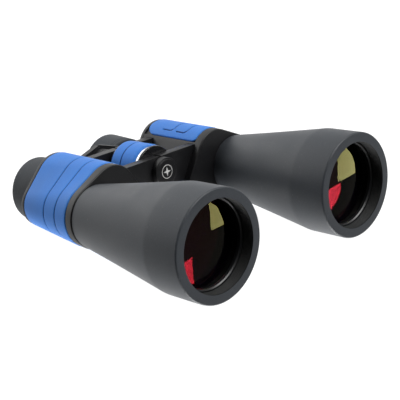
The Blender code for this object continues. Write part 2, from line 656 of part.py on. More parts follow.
def build_focus_wheel(rubber, chrome, pivot):
    """Make the focus wheel, hollow in the middle for the key pin, and its bright ring."""
    front, rear = WHEEL_ENDS
    edge = WHEEL_RADIUS - WHEEL_CROWN
    chamber_front, chamber_rear = WHEEL_CHAMBER
    half = WHEEL_GROOVE_WIDTH / 2
    wheel = [(front, edge), (front + WHEEL_CROWN, WHEEL_RADIUS), (WHEEL_GROOVE - half, WHEEL_RADIUS),
             (WHEEL_GROOVE, WHEEL_RADIUS - WHEEL_GROOVE_DEPTH), (WHEEL_GROOVE + half, WHEEL_RADIUS),
             (rear - WHEEL_CROWN, WHEEL_RADIUS), (rear, edge), (rear, HINGE_BORE),
             (chamber_rear, HINGE_BORE), (chamber_rear, WHEEL_CHAMBER_RADIUS),
             (chamber_front, WHEEL_CHAMBER_RADIUS), (chamber_front, HINGE_BORE),
             (front, HINGE_BORE)]
    add_object("focus_wheel", turned(wheel, HINGE_AXIS, ROUND_STEPS), rubber, pivot)
    bore, outer = WHEEL_RING_RADII
    ring = tube(WHEEL_RING_ENDS, outer, bore, HINGE_AXIS, ROUND_STEPS)
    add_object("wheel_ring", ring, chrome, pivot)


def build_bridge(plastic, steel, pivot):
    """Make the post that slides in the hinge tube, with its key pin, sleeve and end cap."""
    front, rear = POST_ENDS
    post = [(front, 0), (front, POST_RADIUS), (rear, POST_RADIUS), (rear, END_SCREW_RADIUS
            + RUNNING_GAP), (END_SCREW_TIP, END_SCREW_RADIUS + RUNNING_GAP), (END_SCREW_TIP, 0)]
    add_object("bridge_post", turned(post, HINGE_AXIS, SMALL_STEPS), steel, pivot)
    for name, radius in (("bridge_post", KEY_RADIUS + RUNNING_GAP), ("focus_key_pin", KEY_RADIUS)):
        bm = bmesh.new()
        bmesh.ops.create_cone(bm, cap_ends=True, segments=TINY_STEPS, radius1=radius * MM,
                              radius2=radius * MM, depth=2 * KEY_REACH * MM)
        bmesh.ops.rotate(bm, verts=bm.verts, matrix=Matrix.Rotation(math.pi / 2, 3, "Y"))
        bmesh.ops.translate(bm, verts=bm.verts, vec=place(0, KEY_STATION, HINGE_AXIS[1]))
        if name == "focus_key_pin":
            add_object(name, bm, steel, pivot)
        else:
            combine(bpy.data.objects[name], bm, "DIFFERENCE")
    sleeve = tube(SLEEVE_ENDS, SLEEVE_RADIUS, TUBE_BORE, HINGE_AXIS)
    add_object("bridge_sleeve", sleeve, plastic, pivot)
    head = ARM_ENDS[1] + RUNNING_GAP
    screw = [(END_SCREW_TIP + RUNNING_GAP, 0), (END_SCREW_TIP + RUNNING_GAP, END_SCREW_RADIUS),
             (head, END_SCREW_RADIUS), (head, END_HEAD_RADIUS), (head + END_HEAD_HEIGHT,
             END_HEAD_RADIUS), (head + END_HEAD_HEIGHT, 0)]
    add_object("bridge_end_screw", turned(screw, HINGE_AXIS, SMALL_STEPS), steel, pivot)


def main():
    """Build the whole object, half by half."""
    clear_scene()
    hinge = place(HINGE_AXIS[0], HOUSING_FRONT, HINGE_AXIS[1])
    SIDE_PIVOTS[RIGHT] = make_pivot("fold_axis", hinge)
    focus_axis = make_pivot("focus_axis", hinge)
    left_slide = make_pivot("left_ocular_axis", hinge)
    right_slide = make_pivot("right_ocular_axis", hinge, SIDE_PIVOTS[RIGHT])
    right_eye = place(RIGHT * EYEPIECE_AXIS[0], DIOPTRE_ENDS[0], EYEPIECE_AXIS[1])
    dioptre_axis = make_pivot("dioptre_axis", right_eye, right_slide)
    right_eyepiece = make_pivot("right_eyepiece_axis", right_eye, right_slide)
    for side in (LEFT, RIGHT):
        build_objective(side, GREY_RUBBER, BLACK_PLASTIC, COATED_GLASS)
        build_housing(side, BLACK_PLASTIC)
        build_armour(side, BLUE_RUBBER)
        build_rear_cover(side, BLACK_PLASTIC, STEEL)
        build_prism_set(side, BLACK_PLASTIC, CLEAR_GLASS, STEEL)
    for side, slide, eyepiece in ((LEFT, left_slide, left_slide), (RIGHT, right_slide, right_eyepiece)):
        build_arm(side, BLACK_PLASTIC, slide)
        build_eyepiece(side, BLACK_PLASTIC, GREY_RUBBER, CLEAR_GLASS, eyepiece)
    collar = tube((DIOPTRE_ENDS[0], COLLAR_END), GRIP_RADIUS, GUIDE_BORE, EYEPIECE_AXIS)
    add_object("eyepiece_collar_l", collar, BLACK_PLASTIC, left_slide)
    ring = tube(DIOPTRE_ENDS, GRIP_RADIUS, GUIDE_BORE, on_side(EYEPIECE_AXIS, RIGHT))
    add_object("dioptre_ring", ring, BLACK_PLASTIC, dioptre_axis)
    build_hinge(BLACK_PLASTIC, STEEL, BRASS)
    build_focus_wheel(BLUE_RUBBER, CHROME, focus_axis)
    build_bridge(BLACK_PLASTIC, STEEL, left_slide)


main()
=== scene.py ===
"""Looks for a pair of large Porro-prism astronomy binoculars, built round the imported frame.

World frame: +Z is up, the objectives look along -Y, the eyepieces are at +Y and +X is the user's
left. Sizes are in millimetres and become metres where a mesh is made. A station is a distance
behind the objective rims, and a height is measured from the plane of the objective axes.
"""

import logging
import math
from dataclasses import dataclass, field
from enum import Enum
from typing import Callable, Iterable, Sequence

import bmesh
import bpy
from mathutils import Matrix, Vector


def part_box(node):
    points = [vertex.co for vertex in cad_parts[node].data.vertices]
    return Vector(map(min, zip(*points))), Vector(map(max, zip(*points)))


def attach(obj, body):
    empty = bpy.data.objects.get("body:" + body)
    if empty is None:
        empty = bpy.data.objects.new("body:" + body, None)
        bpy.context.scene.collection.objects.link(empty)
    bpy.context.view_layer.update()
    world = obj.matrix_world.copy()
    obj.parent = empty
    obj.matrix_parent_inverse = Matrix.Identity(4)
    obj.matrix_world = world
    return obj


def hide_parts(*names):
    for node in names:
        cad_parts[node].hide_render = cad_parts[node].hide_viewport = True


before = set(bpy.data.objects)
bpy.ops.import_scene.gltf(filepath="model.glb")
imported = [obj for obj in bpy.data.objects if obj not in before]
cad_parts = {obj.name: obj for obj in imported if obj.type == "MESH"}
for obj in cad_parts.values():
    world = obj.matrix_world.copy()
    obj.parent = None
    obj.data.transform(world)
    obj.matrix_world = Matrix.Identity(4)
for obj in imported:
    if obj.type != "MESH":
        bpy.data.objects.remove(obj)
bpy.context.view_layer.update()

LOG = logging.getLogger("binoculars")
MM = 0.001
WELD = 1e-7
SMOOTH_ANGLE = math.radians(32)
FINE = 144
ROUND = 96
SMALL = 48
TINY_RADIUS = 1e-4

Point = tuple[float, float]
Corner = tuple[float, float, float]
Circle = tuple[float, float, float]


def axis_of(node: str) -> Point:
    """Find the axis of a turned CAD node.

    Args:
        node: The CAD node's name.

    Returns:
        The axis as world x and z, in millimetres.
    """
    low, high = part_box(node)
    return (low.x + high.x) / 2 / MM, (low.z + high.z) / 2 / MM


FRONT_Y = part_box("objective_barrel_l")[0].y / MM
OBJECTIVE_X, OBJECTIVE_Z = axis_of("objective_barrel_l")
EYEPIECE_AXIS = (axis_of("eyecup_l")[0], axis_of("eyecup_l")[1] - OBJECTIVE_Z)
HINGE_AXIS = (0.0, axis_of("hinge_tube")[1] - OBJECTIVE_Z)
OBJECTIVE_AXIS = (OBJECTIVE_X, 0.0)


class Side(Enum):
    """The two halves, as the sign of their x."""

    LEFT = 1
    RIGHT = -1

    @property
    def suffix(self) -> str:
        """Return the ending of this side's names."""
        return "_l" if self is Side.LEFT else "_r"

    def axis(self, left: Point) -> Point:
        """Return an axis of the left half carried to this half."""
        return self.value * left[0], left[1]

    @property
    def half(self) -> str:
        """Return the body that this side's barrel and housing ride on."""
        return "left_half" if self is Side.LEFT else "right_half"

    @property
    def arm_body(self) -> str:
        """Return the body that this side's eyepiece arm rides on."""
        return "left_ocular" if self is Side.LEFT else "right_ocular"

    @property
    def eyepiece_body(self) -> str:
        """Return the body that this side's eyepiece rides on."""
        return "left_ocular" if self is Side.LEFT else "right_eyepiece"


def place(x: float, station: float, height: float) -> Vector:
    """Turn millimetres on the object into a world point.

    Args:
        x: Distance to the user's left of the hinge.
        station: Distance behind the objective rims.
        height: Distance above the plane of the objective axes.

    Returns:
        The point in metres.
    """
    return Vector((x, FRONT_Y + station, OBJECTIVE_Z + height)) * MM


def at_origin(x: float, along: float, height: float) -> Vector:
    """Turn millimetres round the world's origin into a point in metres."""
    return Vector((x, along, height)) * MM


def span(node: str) -> Point:
    """Return the stations of a CAD node's front and rear ends."""
    low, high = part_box(node)
    return low.y / MM - FRONT_Y, high.y / MM - FRONT_Y


def polar(centre: Sequence[float], radius: float, angle: float) -> Point:
    """Return the (x, height) point at a distance and an angle from a centre."""
    return centre[0] + radius * math.cos(angle), centre[1] + radius * math.sin(angle)


def arc(centre: Sequence[float], radius: float, start: float, end: float, steps: int) -> list[Point]:
    """Return (x, height) points along an arc, both ends included."""
    return [polar(centre, radius, start + (end - start) * i / steps) for i in range(steps + 1)]


def smoothstep(value: float) -> float:
    """Return a value clamped to 0..1 with a soft start and a soft end."""
    value = min(max(value, 0.0), 1.0)
    return value * value * (3 - 2 * value)


# ---------------------------------------------------------------------------------------------
# Finishes
# ---------------------------------------------------------------------------------------------


class Grain(Enum):
    """Surface textures that a finish can carry."""

    PEBBLE = "pebble"
    SATIN = "satin"
    TURNED = "turned"
    POLISHED = "polished"


@dataclass(frozen=True)
class Finish:
    """One material: its colours, its gloss and the texture that breaks them up.

    Sizes are in millimetres. The mottle is the slow change of colour over a surface, and the
    grain is the fine texture that a fingertip feels.
    """

    name: str
    color: tuple[float, float, float]
    shade: tuple[float, float, float]
    roughness: tuple[float, float]
    grain: Grain = Grain.SATIN
    metallic: float = 0.0
    mottle_size: float = 25.0
    grain_size: float = 0.6
    grain_depth: float = 0.02
    dust: float = 0.0
    specular: float = 0.5
    tint: tuple[float, float, float] = (1.0, 1.0, 1.0)
    coat: float = 0.0
    sheen: float = 0.0
    alpha: float = 1.0

    def build(self) -> bpy.types.Material:
        """Make the material's node tree.

        Returns:
            The new material.
        """
        material = bpy.data.materials.new(self.name)
        material.use_nodes = True
        tree = material.node_tree
        shader = tree.nodes["Principled BSDF"]
        shader.inputs["Metallic"].default_value = self.metallic
        shader.inputs["Specular IOR Level"].default_value = self.specular
        shader.inputs["Specular Tint"].default_value = (*self.tint, 1.0)
        shader.inputs["Coat Weight"].default_value = self.coat
        shader.inputs["Coat Roughness"].default_value = 0.12
        shader.inputs["Sheen Weight"].default_value = self.sheen
        shader.inputs["Sheen Roughness"].default_value = 0.45
        shader.inputs["Alpha"].default_value = self.alpha
        place_node = tree.nodes.new("ShaderNodeTexCoord").outputs["Object"]
        mottle = self._noise(tree, place_node, self.mottle_size, 4.0)
        fine = self._grain(tree, place_node)
        self._color(tree, shader, place_node, mottle, fine)
        rough = tree.nodes.new("ShaderNodeMapRange")
        rough.inputs["From Min"].default_value = 0.3
        rough.inputs["From Max"].default_value = 0.7
        rough.inputs["To Min"].default_value = self.roughness[0]
        rough.inputs["To Max"].default_value = self.roughness[1]
        tree.links.new(mottle, rough.inputs["Value"])
        tree.links.new(rough.outputs["Result"], shader.inputs["Roughness"])
        bump = tree.nodes.new("ShaderNodeBump")
        bump.inputs["Strength"].default_value = 0.6
        bump.inputs["Distance"].default_value = self.grain_depth * MM
        tree.links.new(fine, bump.inputs["Height"])
        tree.links.new(bump.outputs["Normal"], shader.inputs["Normal"])
        return material

    def _noise(self, tree: bpy.types.NodeTree, source: bpy.types.NodeSocket, size: float,
               detail: float) -> bpy.types.NodeSocket:
        """Add a noise texture.

        Args:
            tree: The material's node tree.
            source: The coordinates it reads.
            size: The size of its features.
            detail: How many finer layers it has.

        Returns:
            The socket that carries the noise.
        """
        noise = tree.nodes.new("ShaderNodeTexNoise")
        noise.inputs["Scale"].default_value = 1 / (size * MM)
        noise.inputs["Detail"].default_value = detail
        tree.links.new(source, noise.inputs["Vector"])
        return noise.outputs["Fac"]

    def _grain(self, tree: bpy.types.NodeTree,
               source: bpy.types.NodeSocket) -> bpy.types.NodeSocket:
        """Add the fine texture that this finish's grain asks for.

        Args:
            tree: The material's node tree.
            source: The coordinates it reads.

        Returns:
            The socket that carries the grain's height.
        """
        if self.grain is Grain.PEBBLE:
            cells = tree.nodes.new("ShaderNodeTexVoronoi")
            cells.feature = "SMOOTH_F1"
            cells.inputs["Scale"].default_value = 1 / (self.grain_size * MM)
            tree.links.new(source, cells.inputs["Vector"])
            return cells.outputs["Distance"]
        if self.grain is Grain.TURNED:
            stretch = tree.nodes.new("ShaderNodeMapping")
            stretch.inputs["Scale"].default_value = (0.04, 1.0, 0.04)
            tree.links.new(source, stretch.inputs["Vector"])
            return self._noise(tree, stretch.outputs["Vector"], self.grain_size, 3.0)
        detail = 1.0 if self.grain is Grain.POLISHED else 6.0
        return self._noise(tree, source, self.grain_size, detail)

    def _color(self, tree: bpy.types.NodeTree, shader: bpy.types.Node,
               source: bpy.types.NodeSocket, mottle: bpy.types.NodeSocket,
               fine: bpy.types.NodeSocket) -> None:
        """Blend the base colour with its shade, its grain and a little dust.

        Args:
            tree: The material's node tree.
            shader: The Principled shader to feed.
            source: The coordinates for the dust.
            mottle: The slow noise.
            fine: The fine noise.
        """
        blend = tree.nodes.new("ShaderNodeMix")
        blend.data_type = "RGBA"
        blend.inputs["A"].default_value = (*self.shade, 1.0)
        blend.inputs["B"].default_value = (*self.color, 1.0)
        ramp = tree.nodes.new("ShaderNodeMapRange")
        ramp.inputs["From Min"].default_value = 0.35
        ramp.inputs["From Max"].default_value = 0.65
        tree.links.new(mottle, ramp.inputs["Value"])
        tree.links.new(ramp.outputs["Result"], blend.inputs["Factor"])
        speckle = tree.nodes.new("ShaderNodeMix")
        speckle.data_type = "RGBA"
        speckle.blend_type = "SOFT_LIGHT"
        speckle.inputs["Factor"].default_value = 0.25
        tree.links.new(blend.outputs["Result"], speckle.inputs["A"])
        grey = tree.nodes.new("ShaderNodeCombineColor")
        for channel in ("Red", "Green", "Blue"):
            tree.links.new(fine, grey.inputs[channel])
        tree.links.new(grey.outputs["Color"], speckle.inputs["B"])
        if not self.dust:
            tree.links.new(speckle.outputs["Result"], shader.inputs["Base Color"])
            return
        motes = self._noise(tree, source, 1.7, 8.0)
        threshold = tree.nodes.new("ShaderNodeMapRange")
        threshold.inputs["From Min"].default_value = 0.62
        threshold.inputs["From Max"].default_value = 0.78
        threshold.inputs["To Max"].default_value = self.dust
        tree.links.new(motes, threshold.inputs["Value"])
        dusty = tree.nodes.new("ShaderNodeMix")
        dusty.data_type = "RGBA"
        dusty.inputs["B"].default_value = (0.3, 0.3, 0.29, 1.0)
        tree.links.new(threshold.outputs["Result"], dusty.inputs["Factor"])
        tree.links.new(speckle.outputs["Result"], dusty.inputs["A"])
        tree.links.new(dusty.outputs["Result"], shader.inputs["Base Color"])


GREY_RUBBER = Finish("satin_grey_rubber", (0.043, 0.05, 0.06), (0.036, 0.042, 0.051), (0.46, 0.58),
                     grain=Grain.PEBBLE, grain_size=0.35, grain_depth=0.012, dust=0.1,
                     specular=0.5, sheen=0.05)
CUP_RUBBER = Finish("eyecup_rubber", (0.047, 0.054, 0.063), (0.04, 0.046, 0.053), (0.6, 0.75),
                    grain=Grain.PEBBLE, grain_size=0.3, grain_depth=0.015, dust=0.12,
                    specular=0.4, sheen=0.05)
BLUE_RUBBER = Finish("blue_rubber", (0.055, 0.255, 0.78), (0.048, 0.23, 0.71), (0.5, 0.64),
                     grain=Grain.PEBBLE, grain_size=0.4, grain_depth=0.02, mottle_size=30,
                     dust=0.03, specular=0.3, sheen=0.04)
# Painted shade: a darker blue for the faces in the armour's grooves and on the focus wheel's groove,
# sides and chamber, where the real rubber is only shaded.
BLUE_GROOVE_PAINTED_SHADE = Finish("blue_rubber_groove", (0.022, 0.09, 0.3), (0.018, 0.075, 0.25), (0.6, 0.75),
                     grain=Grain.PEBBLE, grain_size=0.4, grain_depth=0.02)
BLACK_PLASTIC = Finish("black_moulding", (0.009, 0.009, 0.01), (0.006, 0.006, 0.007), (0.36, 0.5),
                       grain_size=0.25, grain_depth=0.01, dust=0.04, specular=0.5)
GLOSS_PLASTIC = Finish("gloss_black_moulding", (0.012, 0.012, 0.013), (0.009, 0.009, 0.01),
                       (0.14, 0.24), grain_size=1.2, grain_depth=0.004, dust=0.04, coat=0.3)
MATT_BLACK = Finish("matt_black_paint", (0.011, 0.012, 0.012), (0.008, 0.009, 0.009), (0.55, 0.7),
                    grain=Grain.TURNED, grain_size=0.3, grain_depth=0.02)
SATIN_BLACK = Finish("satin_black_anodising", (0.014, 0.015, 0.016), (0.01, 0.011, 0.012),
                     (0.28, 0.4), grain=Grain.TURNED, grain_size=0.2, grain_depth=0.008,
                     specular=0.6)
CROWN_COAT = Finish("crown_lens_coating", (0.0, 0.0, 0.0), (0.0, 0.0, 0.0),
                    (0.02, 0.03), grain=Grain.POLISHED, grain_depth=0.0, specular=0.12,
                    tint=(0.9, 0.86, 0.45), alpha=0.55)
CROWN_CLEAR = Finish("crown_lens_inner_face", (0.01, 0.01, 0.012), (0.01, 0.01, 0.012),
                     (0.02, 0.03), grain=Grain.POLISHED, grain_depth=0.0, specular=0.0, alpha=0.02)
FLINT_COAT = Finish("flint_lens_coating", (0.003, 0.0015, 0.006), (0.002, 0.001, 0.004),
                    (0.02, 0.03), grain=Grain.POLISHED, grain_depth=0.0, specular=0.4,
                    tint=(1.0, 0.1, 0.16))
EYE_COAT = Finish("eye_lens_coating", (0.01, 0.014, 0.012), (0.006, 0.01, 0.009), (0.02, 0.04),
                  grain=Grain.POLISHED, grain_depth=0.0, specular=1.0, tint=(0.5, 1.0, 0.65))
PRISM_GLASS = Finish("prism_glass", (0.34, 0.38, 0.37), (0.27, 0.31, 0.3), (0.05, 0.12),
                     grain=Grain.POLISHED, mottle_size=12, grain_size=3, grain_depth=0.004)
STEEL = Finish("turned_steel", (0.42, 0.42, 0.43), (0.33, 0.33, 0.34), (0.26, 0.4),
               grain=Grain.TURNED, metallic=1.0, grain_size=0.25, grain_depth=0.01)
SCREW_STEEL = Finish("blackened_steel", (0.07, 0.07, 0.075), (0.04, 0.04, 0.045), (0.3, 0.45),
                     metallic=0.8, grain_size=0.3, grain_depth=0.01)
BRASS = Finish("turned_brass", (0.62, 0.44, 0.18), (0.5, 0.34, 0.13), (0.24, 0.38),
               grain=Grain.TURNED, metallic=1.0, grain_size=0.25, grain_depth=0.01)
CHROME = Finish("bright_chrome", (0.86, 0.86, 0.87), (0.78, 0.78, 0.8), (0.06, 0.12),
                grain=Grain.TURNED, metallic=1.0, grain_size=0.2, grain_depth=0.002)
WHITE_INK = Finish("printed_white_ink", (0.82, 0.82, 0.8), (0.66, 0.66, 0.65), (0.4, 0.55),
                   mottle_size=2.5, grain_size=0.2, grain_depth=0.01)


class Palette:
    """Makes each finish's material once and hands it out."""

    def __init__(self) -> None:
        """Start with no materials made."""
        self._made: dict[str, bpy.types.Material] = {}

    def get(self, finish: Finish) -> bpy.types.Material:
        """Return the material of a finish, made at its first use."""
        if finish.name not in self._made:
            self._made[finish.name] = finish.build()
        return self._made[finish.name]

    def dress(self, node: str, finish: Finish) -> None:
        """Give a carried-over CAD node a finish.

        Args:
            node: The CAD node's name.
            finish: Its finish.
        """
        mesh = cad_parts[node].data
        mesh.materials.clear()
        mesh.materials.append(self.get(finish))
        LOG.info("dressed %s in %s", node, finish.name)


PALETTE = Palette()

# ---------------------------------------------------------------------------------------------
# Mesh helpers
# ---------------------------------------------------------------------------------------------


def skin(bm: bmesh.types.BMesh, first: Sequence[bmesh.types.BMVert],
         second: Sequence[bmesh.types.BMVert]) -> None:
    """Join two closed rings with faces; a ring of one vert is a pole.

    Args:
        bm: The mesh to add to.
        first: One ring.
        second: The next ring.
    """
    count = max(len(first), len(second))
    if count == 1:
        return
    for i in range(count):
        j = (i + 1) % count
        corners = [first[i % len(first)], first[j % len(first)],
                   second[j % len(second)], second[i % len(second)]]
        bm.faces.new(list(dict.fromkeys(corners)))


def rounded(corners: Iterable[Corner], steps: int = 4) -> list[Point]:
    """Round the corners of an open profile.

    Args:
        corners: (station, radius, fillet) of each corner; the ends' fillets are ignored.
        steps: How many pieces each rounded corner has.

    Returns:
        The (station, radius) points of the profile.
    """
    items = list(corners)
    points = [items[0][:2]]
    for before, here, after in zip(items, items[1:], items[2:]):
        if here[2] <= 0:
            points.append(here[:2])
            continue
        corner = Vector(here[:2])
        back = Vector(before[:2]) - corner
        ahead = Vector(after[:2]) - corner
        reach = min(here[2], back.length * 0.49, ahead.length * 0.49)
        start = corner + back.normalized() * reach
        end = corner + ahead.normalized() * reach
        for i in range(steps + 1):
            t = i / steps
            spot = start * (1 - t) ** 2 + corner * (2 * t * (1 - t)) + end * t ** 2
            points.append((spot.x, spot.y))
    points.append(items[-1][:2])
    return points


def turned(profile: Sequence[Point], axis: Point, segments: int = ROUND,
           locate: Callable[[float, float, float], Vector] = place) -> bmesh.types.BMesh:
    """Turn a profile round an axis parallel to Y.

    Args:
        profile: (station, radius) points; one that starts on the axis ends there, and any other
            is closed into a ring.
        axis: The (x, height) of the axis.
        segments: How many pieces go round.
        locate: What turns millimetres into a world point.

    Returns:
        The mesh.
    """
    bm = bmesh.new()
    rings = []
    for station, radius in profile:
        if radius < TINY_RADIUS:
            rings.append([bm.verts.new(locate(axis[0], station, axis[1]))])
            continue
        spots = (polar(axis, radius, math.tau * i / segments) for i in range(segments))
        rings.append([bm.verts.new(locate(x, station, height)) for x, height in spots])
    for first, second in zip(rings, rings[1:]):
        skin(bm, first, second)
    if profile[0][1] > TINY_RADIUS:
        skin(bm, rings[-1], rings[0])
    return bm


def loop_edges(bm: bmesh.types.BMesh,
               loop: Sequence[bmesh.types.BMVert]) -> list[bmesh.types.BMEdge]:
    """Return the edges of a closed loop of verts, made where they are missing."""
    pairs = zip(loop, list(loop[1:]) + [loop[0]])
    return [bm.edges.get(pair) or bm.edges.new(pair) for pair in pairs]


def plate(bm: bmesh.types.BMesh, *loops: Sequence[bmesh.types.BMVert]) -> None:
    """Fill the flat face between an outer loop and the holes in it."""
    edges = [edge for loop in loops for edge in loop_edges(bm, loop)]
    bmesh.ops.triangle_fill(bm, edges=edges, use_beauty=True, use_dissolve=False)


def add_ring(bm: bmesh.types.BMesh, side: Side, outline: Iterable[Point],
             station: float) -> list[bmesh.types.BMVert]:
    """Add a ring of verts to a mesh.

    Args:
        bm: The mesh.
        side: The half it stands on.
        outline: Its (x, height) points on the left half.
        station: Its station.

    Returns:
        The new verts in order.
    """
    return [bm.verts.new(place(side.value * x, station, height)) for x, height in outline]


def to_object(name: str, bm: bmesh.types.BMesh, finishes: Sequence[Finish],
              sharp: float = SMOOTH_ANGLE) -> bpy.types.Object:
    """Turn a mesh under construction into an object.

    Args:
        name: The object's name.
        bm: The mesh, freed here.
        finishes: The finishes that its faces number.
        sharp: The angle past which an edge is drawn sharp.

    Returns:
        The new object.
    """
    bmesh.ops.remove_doubles(bm, verts=bm.verts, dist=WELD)
    bmesh.ops.recalc_face_normals(bm, faces=bm.faces)
    mesh = bpy.data.meshes.new(name)
    bm.to_mesh(mesh)
    bm.free()
    for finish in finishes:
        mesh.materials.append(PALETTE.get(finish))
    mesh.shade_smooth()
    mesh.set_sharp_from_angle(angle=sharp)
    obj = bpy.data.objects.new(name, mesh)
    bpy.context.scene.collection.objects.link(obj)
    return obj


def settle(obj: bpy.types.Object, body: str, slot: str, *nodes: str) -> bpy.types.Object:
    """Hang a finished piece on its body and let it stand for its CAD nodes.

    Args:
        obj: The piece.
        body: The CAD body it rides on.
        slot: The record's material slot; not used.
        nodes: The CAD nodes it stands for.

    Returns:
        The same piece.
    """
    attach(obj, body)
    if nodes:
        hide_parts(*nodes)
    LOG.info("%s: %d faces on %s", obj.name, len(obj.data.polygons), body)
    return obj


def bake_modifiers(obj: bpy.types.Object, sharp: float = SMOOTH_ANGLE) -> bpy.types.Object:
    """Replace an object's mesh by its evaluated one and drop its modifiers.

    Args:
        obj: The object.
        sharp: The angle past which an edge is drawn sharp.

    Returns:
        The same object with a plain mesh.
    """
    bpy.context.view_layer.update()
    graph = bpy.context.evaluated_depsgraph_get()
    mesh = bpy.data.meshes.new_from_object(obj.evaluated_get(graph))
    obj.modifiers.clear()
    old, obj.data = obj.data, mesh
    mesh.name = obj.name
    bpy.data.meshes.remove(old)
    mesh.shade_smooth()
    mesh.set_sharp_from_angle(angle=sharp)
    return obj


def bevelled(obj: bpy.types.Object, width: float, segments: int = 3) -> bpy.types.Object:
    """Round an object's sharp edges and keep the result as its plain mesh."""
    bevel = obj.modifiers.new("edge_rounding", "BEVEL")
    bevel.width = width * MM
    bevel.segments = segments
    bevel.limit_method = "ANGLE"
    bevel.angle_limit = math.radians(40)
    return bake_modifiers(obj)


def drill(obj: bpy.types.Object, ends: Point, radius: float, axis: Point) -> None:
    """Cut a round hole parallel to Y through an object.

    Args:
        obj: The object, left with a plain mesh.
        ends: The stations between which the hole runs.
        radius: Its radius.
        axis: Its axis.
    """
    profile = [(ends[0], 0.0), (ends[0], radius), (ends[1], radius), (ends[1], 0.0)]
    cutter = to_object("hole_cutter", turned(profile, axis, SMALL), ())
    cut = obj.modifiers.new("hole", "BOOLEAN")
    cut.object = cutter
    cut.solver = "EXACT"
    bake_modifiers(obj)
    mesh = cutter.data
    bpy.data.objects.remove(cutter)
    bpy.data.meshes.remove(mesh)


def join(target: bpy.types.Object, *others: bpy.types.Object) -> bpy.types.Object:
    """Merge other objects' meshes into one object as separate shells."""
    bm = bmesh.new()
    bm.from_mesh(target.data)
    for other in others:
        bm.from_mesh(other.data)
    bm.to_mesh(target.data)
    bm.free()
    for other in others:
        mesh = other.data
        bpy.data.objects.remove(other)
        bpy.data.meshes.remove(mesh)
    target.data.set_sharp_from_angle(angle=SMOOTH_ANGLE)
    return target


class CopyTree:
    """Geometry Nodes tree that repeats one small shape round an axis, or along a line."""

    NAME = "repeat_round_or_along"

    def __init__(self) -> None:
        """Build the tree with its named inputs."""
        tree = bpy.data.node_groups.new(self.NAME, "GeometryNodeTree")
        self.tree = tree
        self.sockets: dict[str, str] = {}
        for name, kind in (("Shape", "Geometry"), ("Count", "Int"), ("Centre", "Vector"),
                           ("Shift", "Vector"), ("Turn", "Float"), ("Phase", "Float"),
                           ("Material", "Material")):
            socket = tree.interface.new_socket(name, in_out="INPUT",
                                               socket_type=f"NodeSocket{kind}")
            self.sockets[name] = socket.identifier
        tree.interface.new_socket("Geometry", in_out="OUTPUT", socket_type="NodeSocketGeometry")
        source = tree.nodes.new("NodeGroupInput")
        line = tree.nodes.new("GeometryNodeMeshLine")
        index = tree.nodes.new("GeometryNodeInputIndex")
        angle = tree.nodes.new("ShaderNodeMath")
        angle.operation = "MULTIPLY_ADD"
        euler = tree.nodes.new("ShaderNodeCombineXYZ")
        rotation = tree.nodes.new("FunctionNodeEulerToRotation")
        copies = tree.nodes.new("GeometryNodeInstanceOnPoints")
        real = tree.nodes.new("GeometryNodeRealizeInstances")
        paint = tree.nodes.new("GeometryNodeSetMaterial")
        sink = tree.nodes.new("NodeGroupOutput")
        for start, end in (
                (source.outputs["Count"], line.inputs["Count"]),
                (source.outputs["Centre"], line.inputs["Start Location"]),
                (source.outputs["Shift"], line.inputs["Offset"]),
                (index.outputs["Index"], angle.inputs[0]),
                (source.outputs["Turn"], angle.inputs[1]),
                (source.outputs["Phase"], angle.inputs[2]),
                (angle.outputs["Value"], euler.inputs["Y"]),
                (euler.outputs["Vector"], rotation.inputs["Euler"]),
                (line.outputs["Mesh"], copies.inputs["Points"]),
                (source.outputs["Shape"], copies.inputs["Instance"]),
                (rotation.outputs["Rotation"], copies.inputs["Rotation"]),
                (copies.outputs["Instances"], real.inputs["Geometry"]),
                (real.outputs["Geometry"], paint.inputs["Geometry"]),
                (source.outputs["Material"], paint.inputs["Material"]),
                (paint.outputs["Geometry"], sink.inputs["Geometry"])):
            tree.links.new(start, end)

    def repeat(self, shape: bpy.types.Object, count: int, centre: Vector, finish: Finish,
               shift: Vector = Vector(), turn: float = 0.0,
               phase: float = 0.0) -> bpy.types.Object:
        """Repeat a shape that is modelled round the world's origin.

        Args:
            shape: The object with one copy, which becomes all of them.
            count: How many copies.
            centre: Where the first copy's origin goes.
            finish: Their finish.
            shift: The step from one copy to the next.
            turn: The angle from one copy to the next, round Y.
            phase: The first copy's angle.

        Returns:
            The same object, with a plain mesh of every copy.
        """
        modifier = shape.modifiers.new("copies", "NODES")
        modifier.node_group = self.tree
        values = {"Count": count, "Centre": centre, "Shift": shift, "Turn": turn,
                  "Phase": phase, "Material": PALETTE.get(finish)}
        for name, value in values.items():
            modifier[self.sockets[name]] = value
        return bake_modifiers(shape)


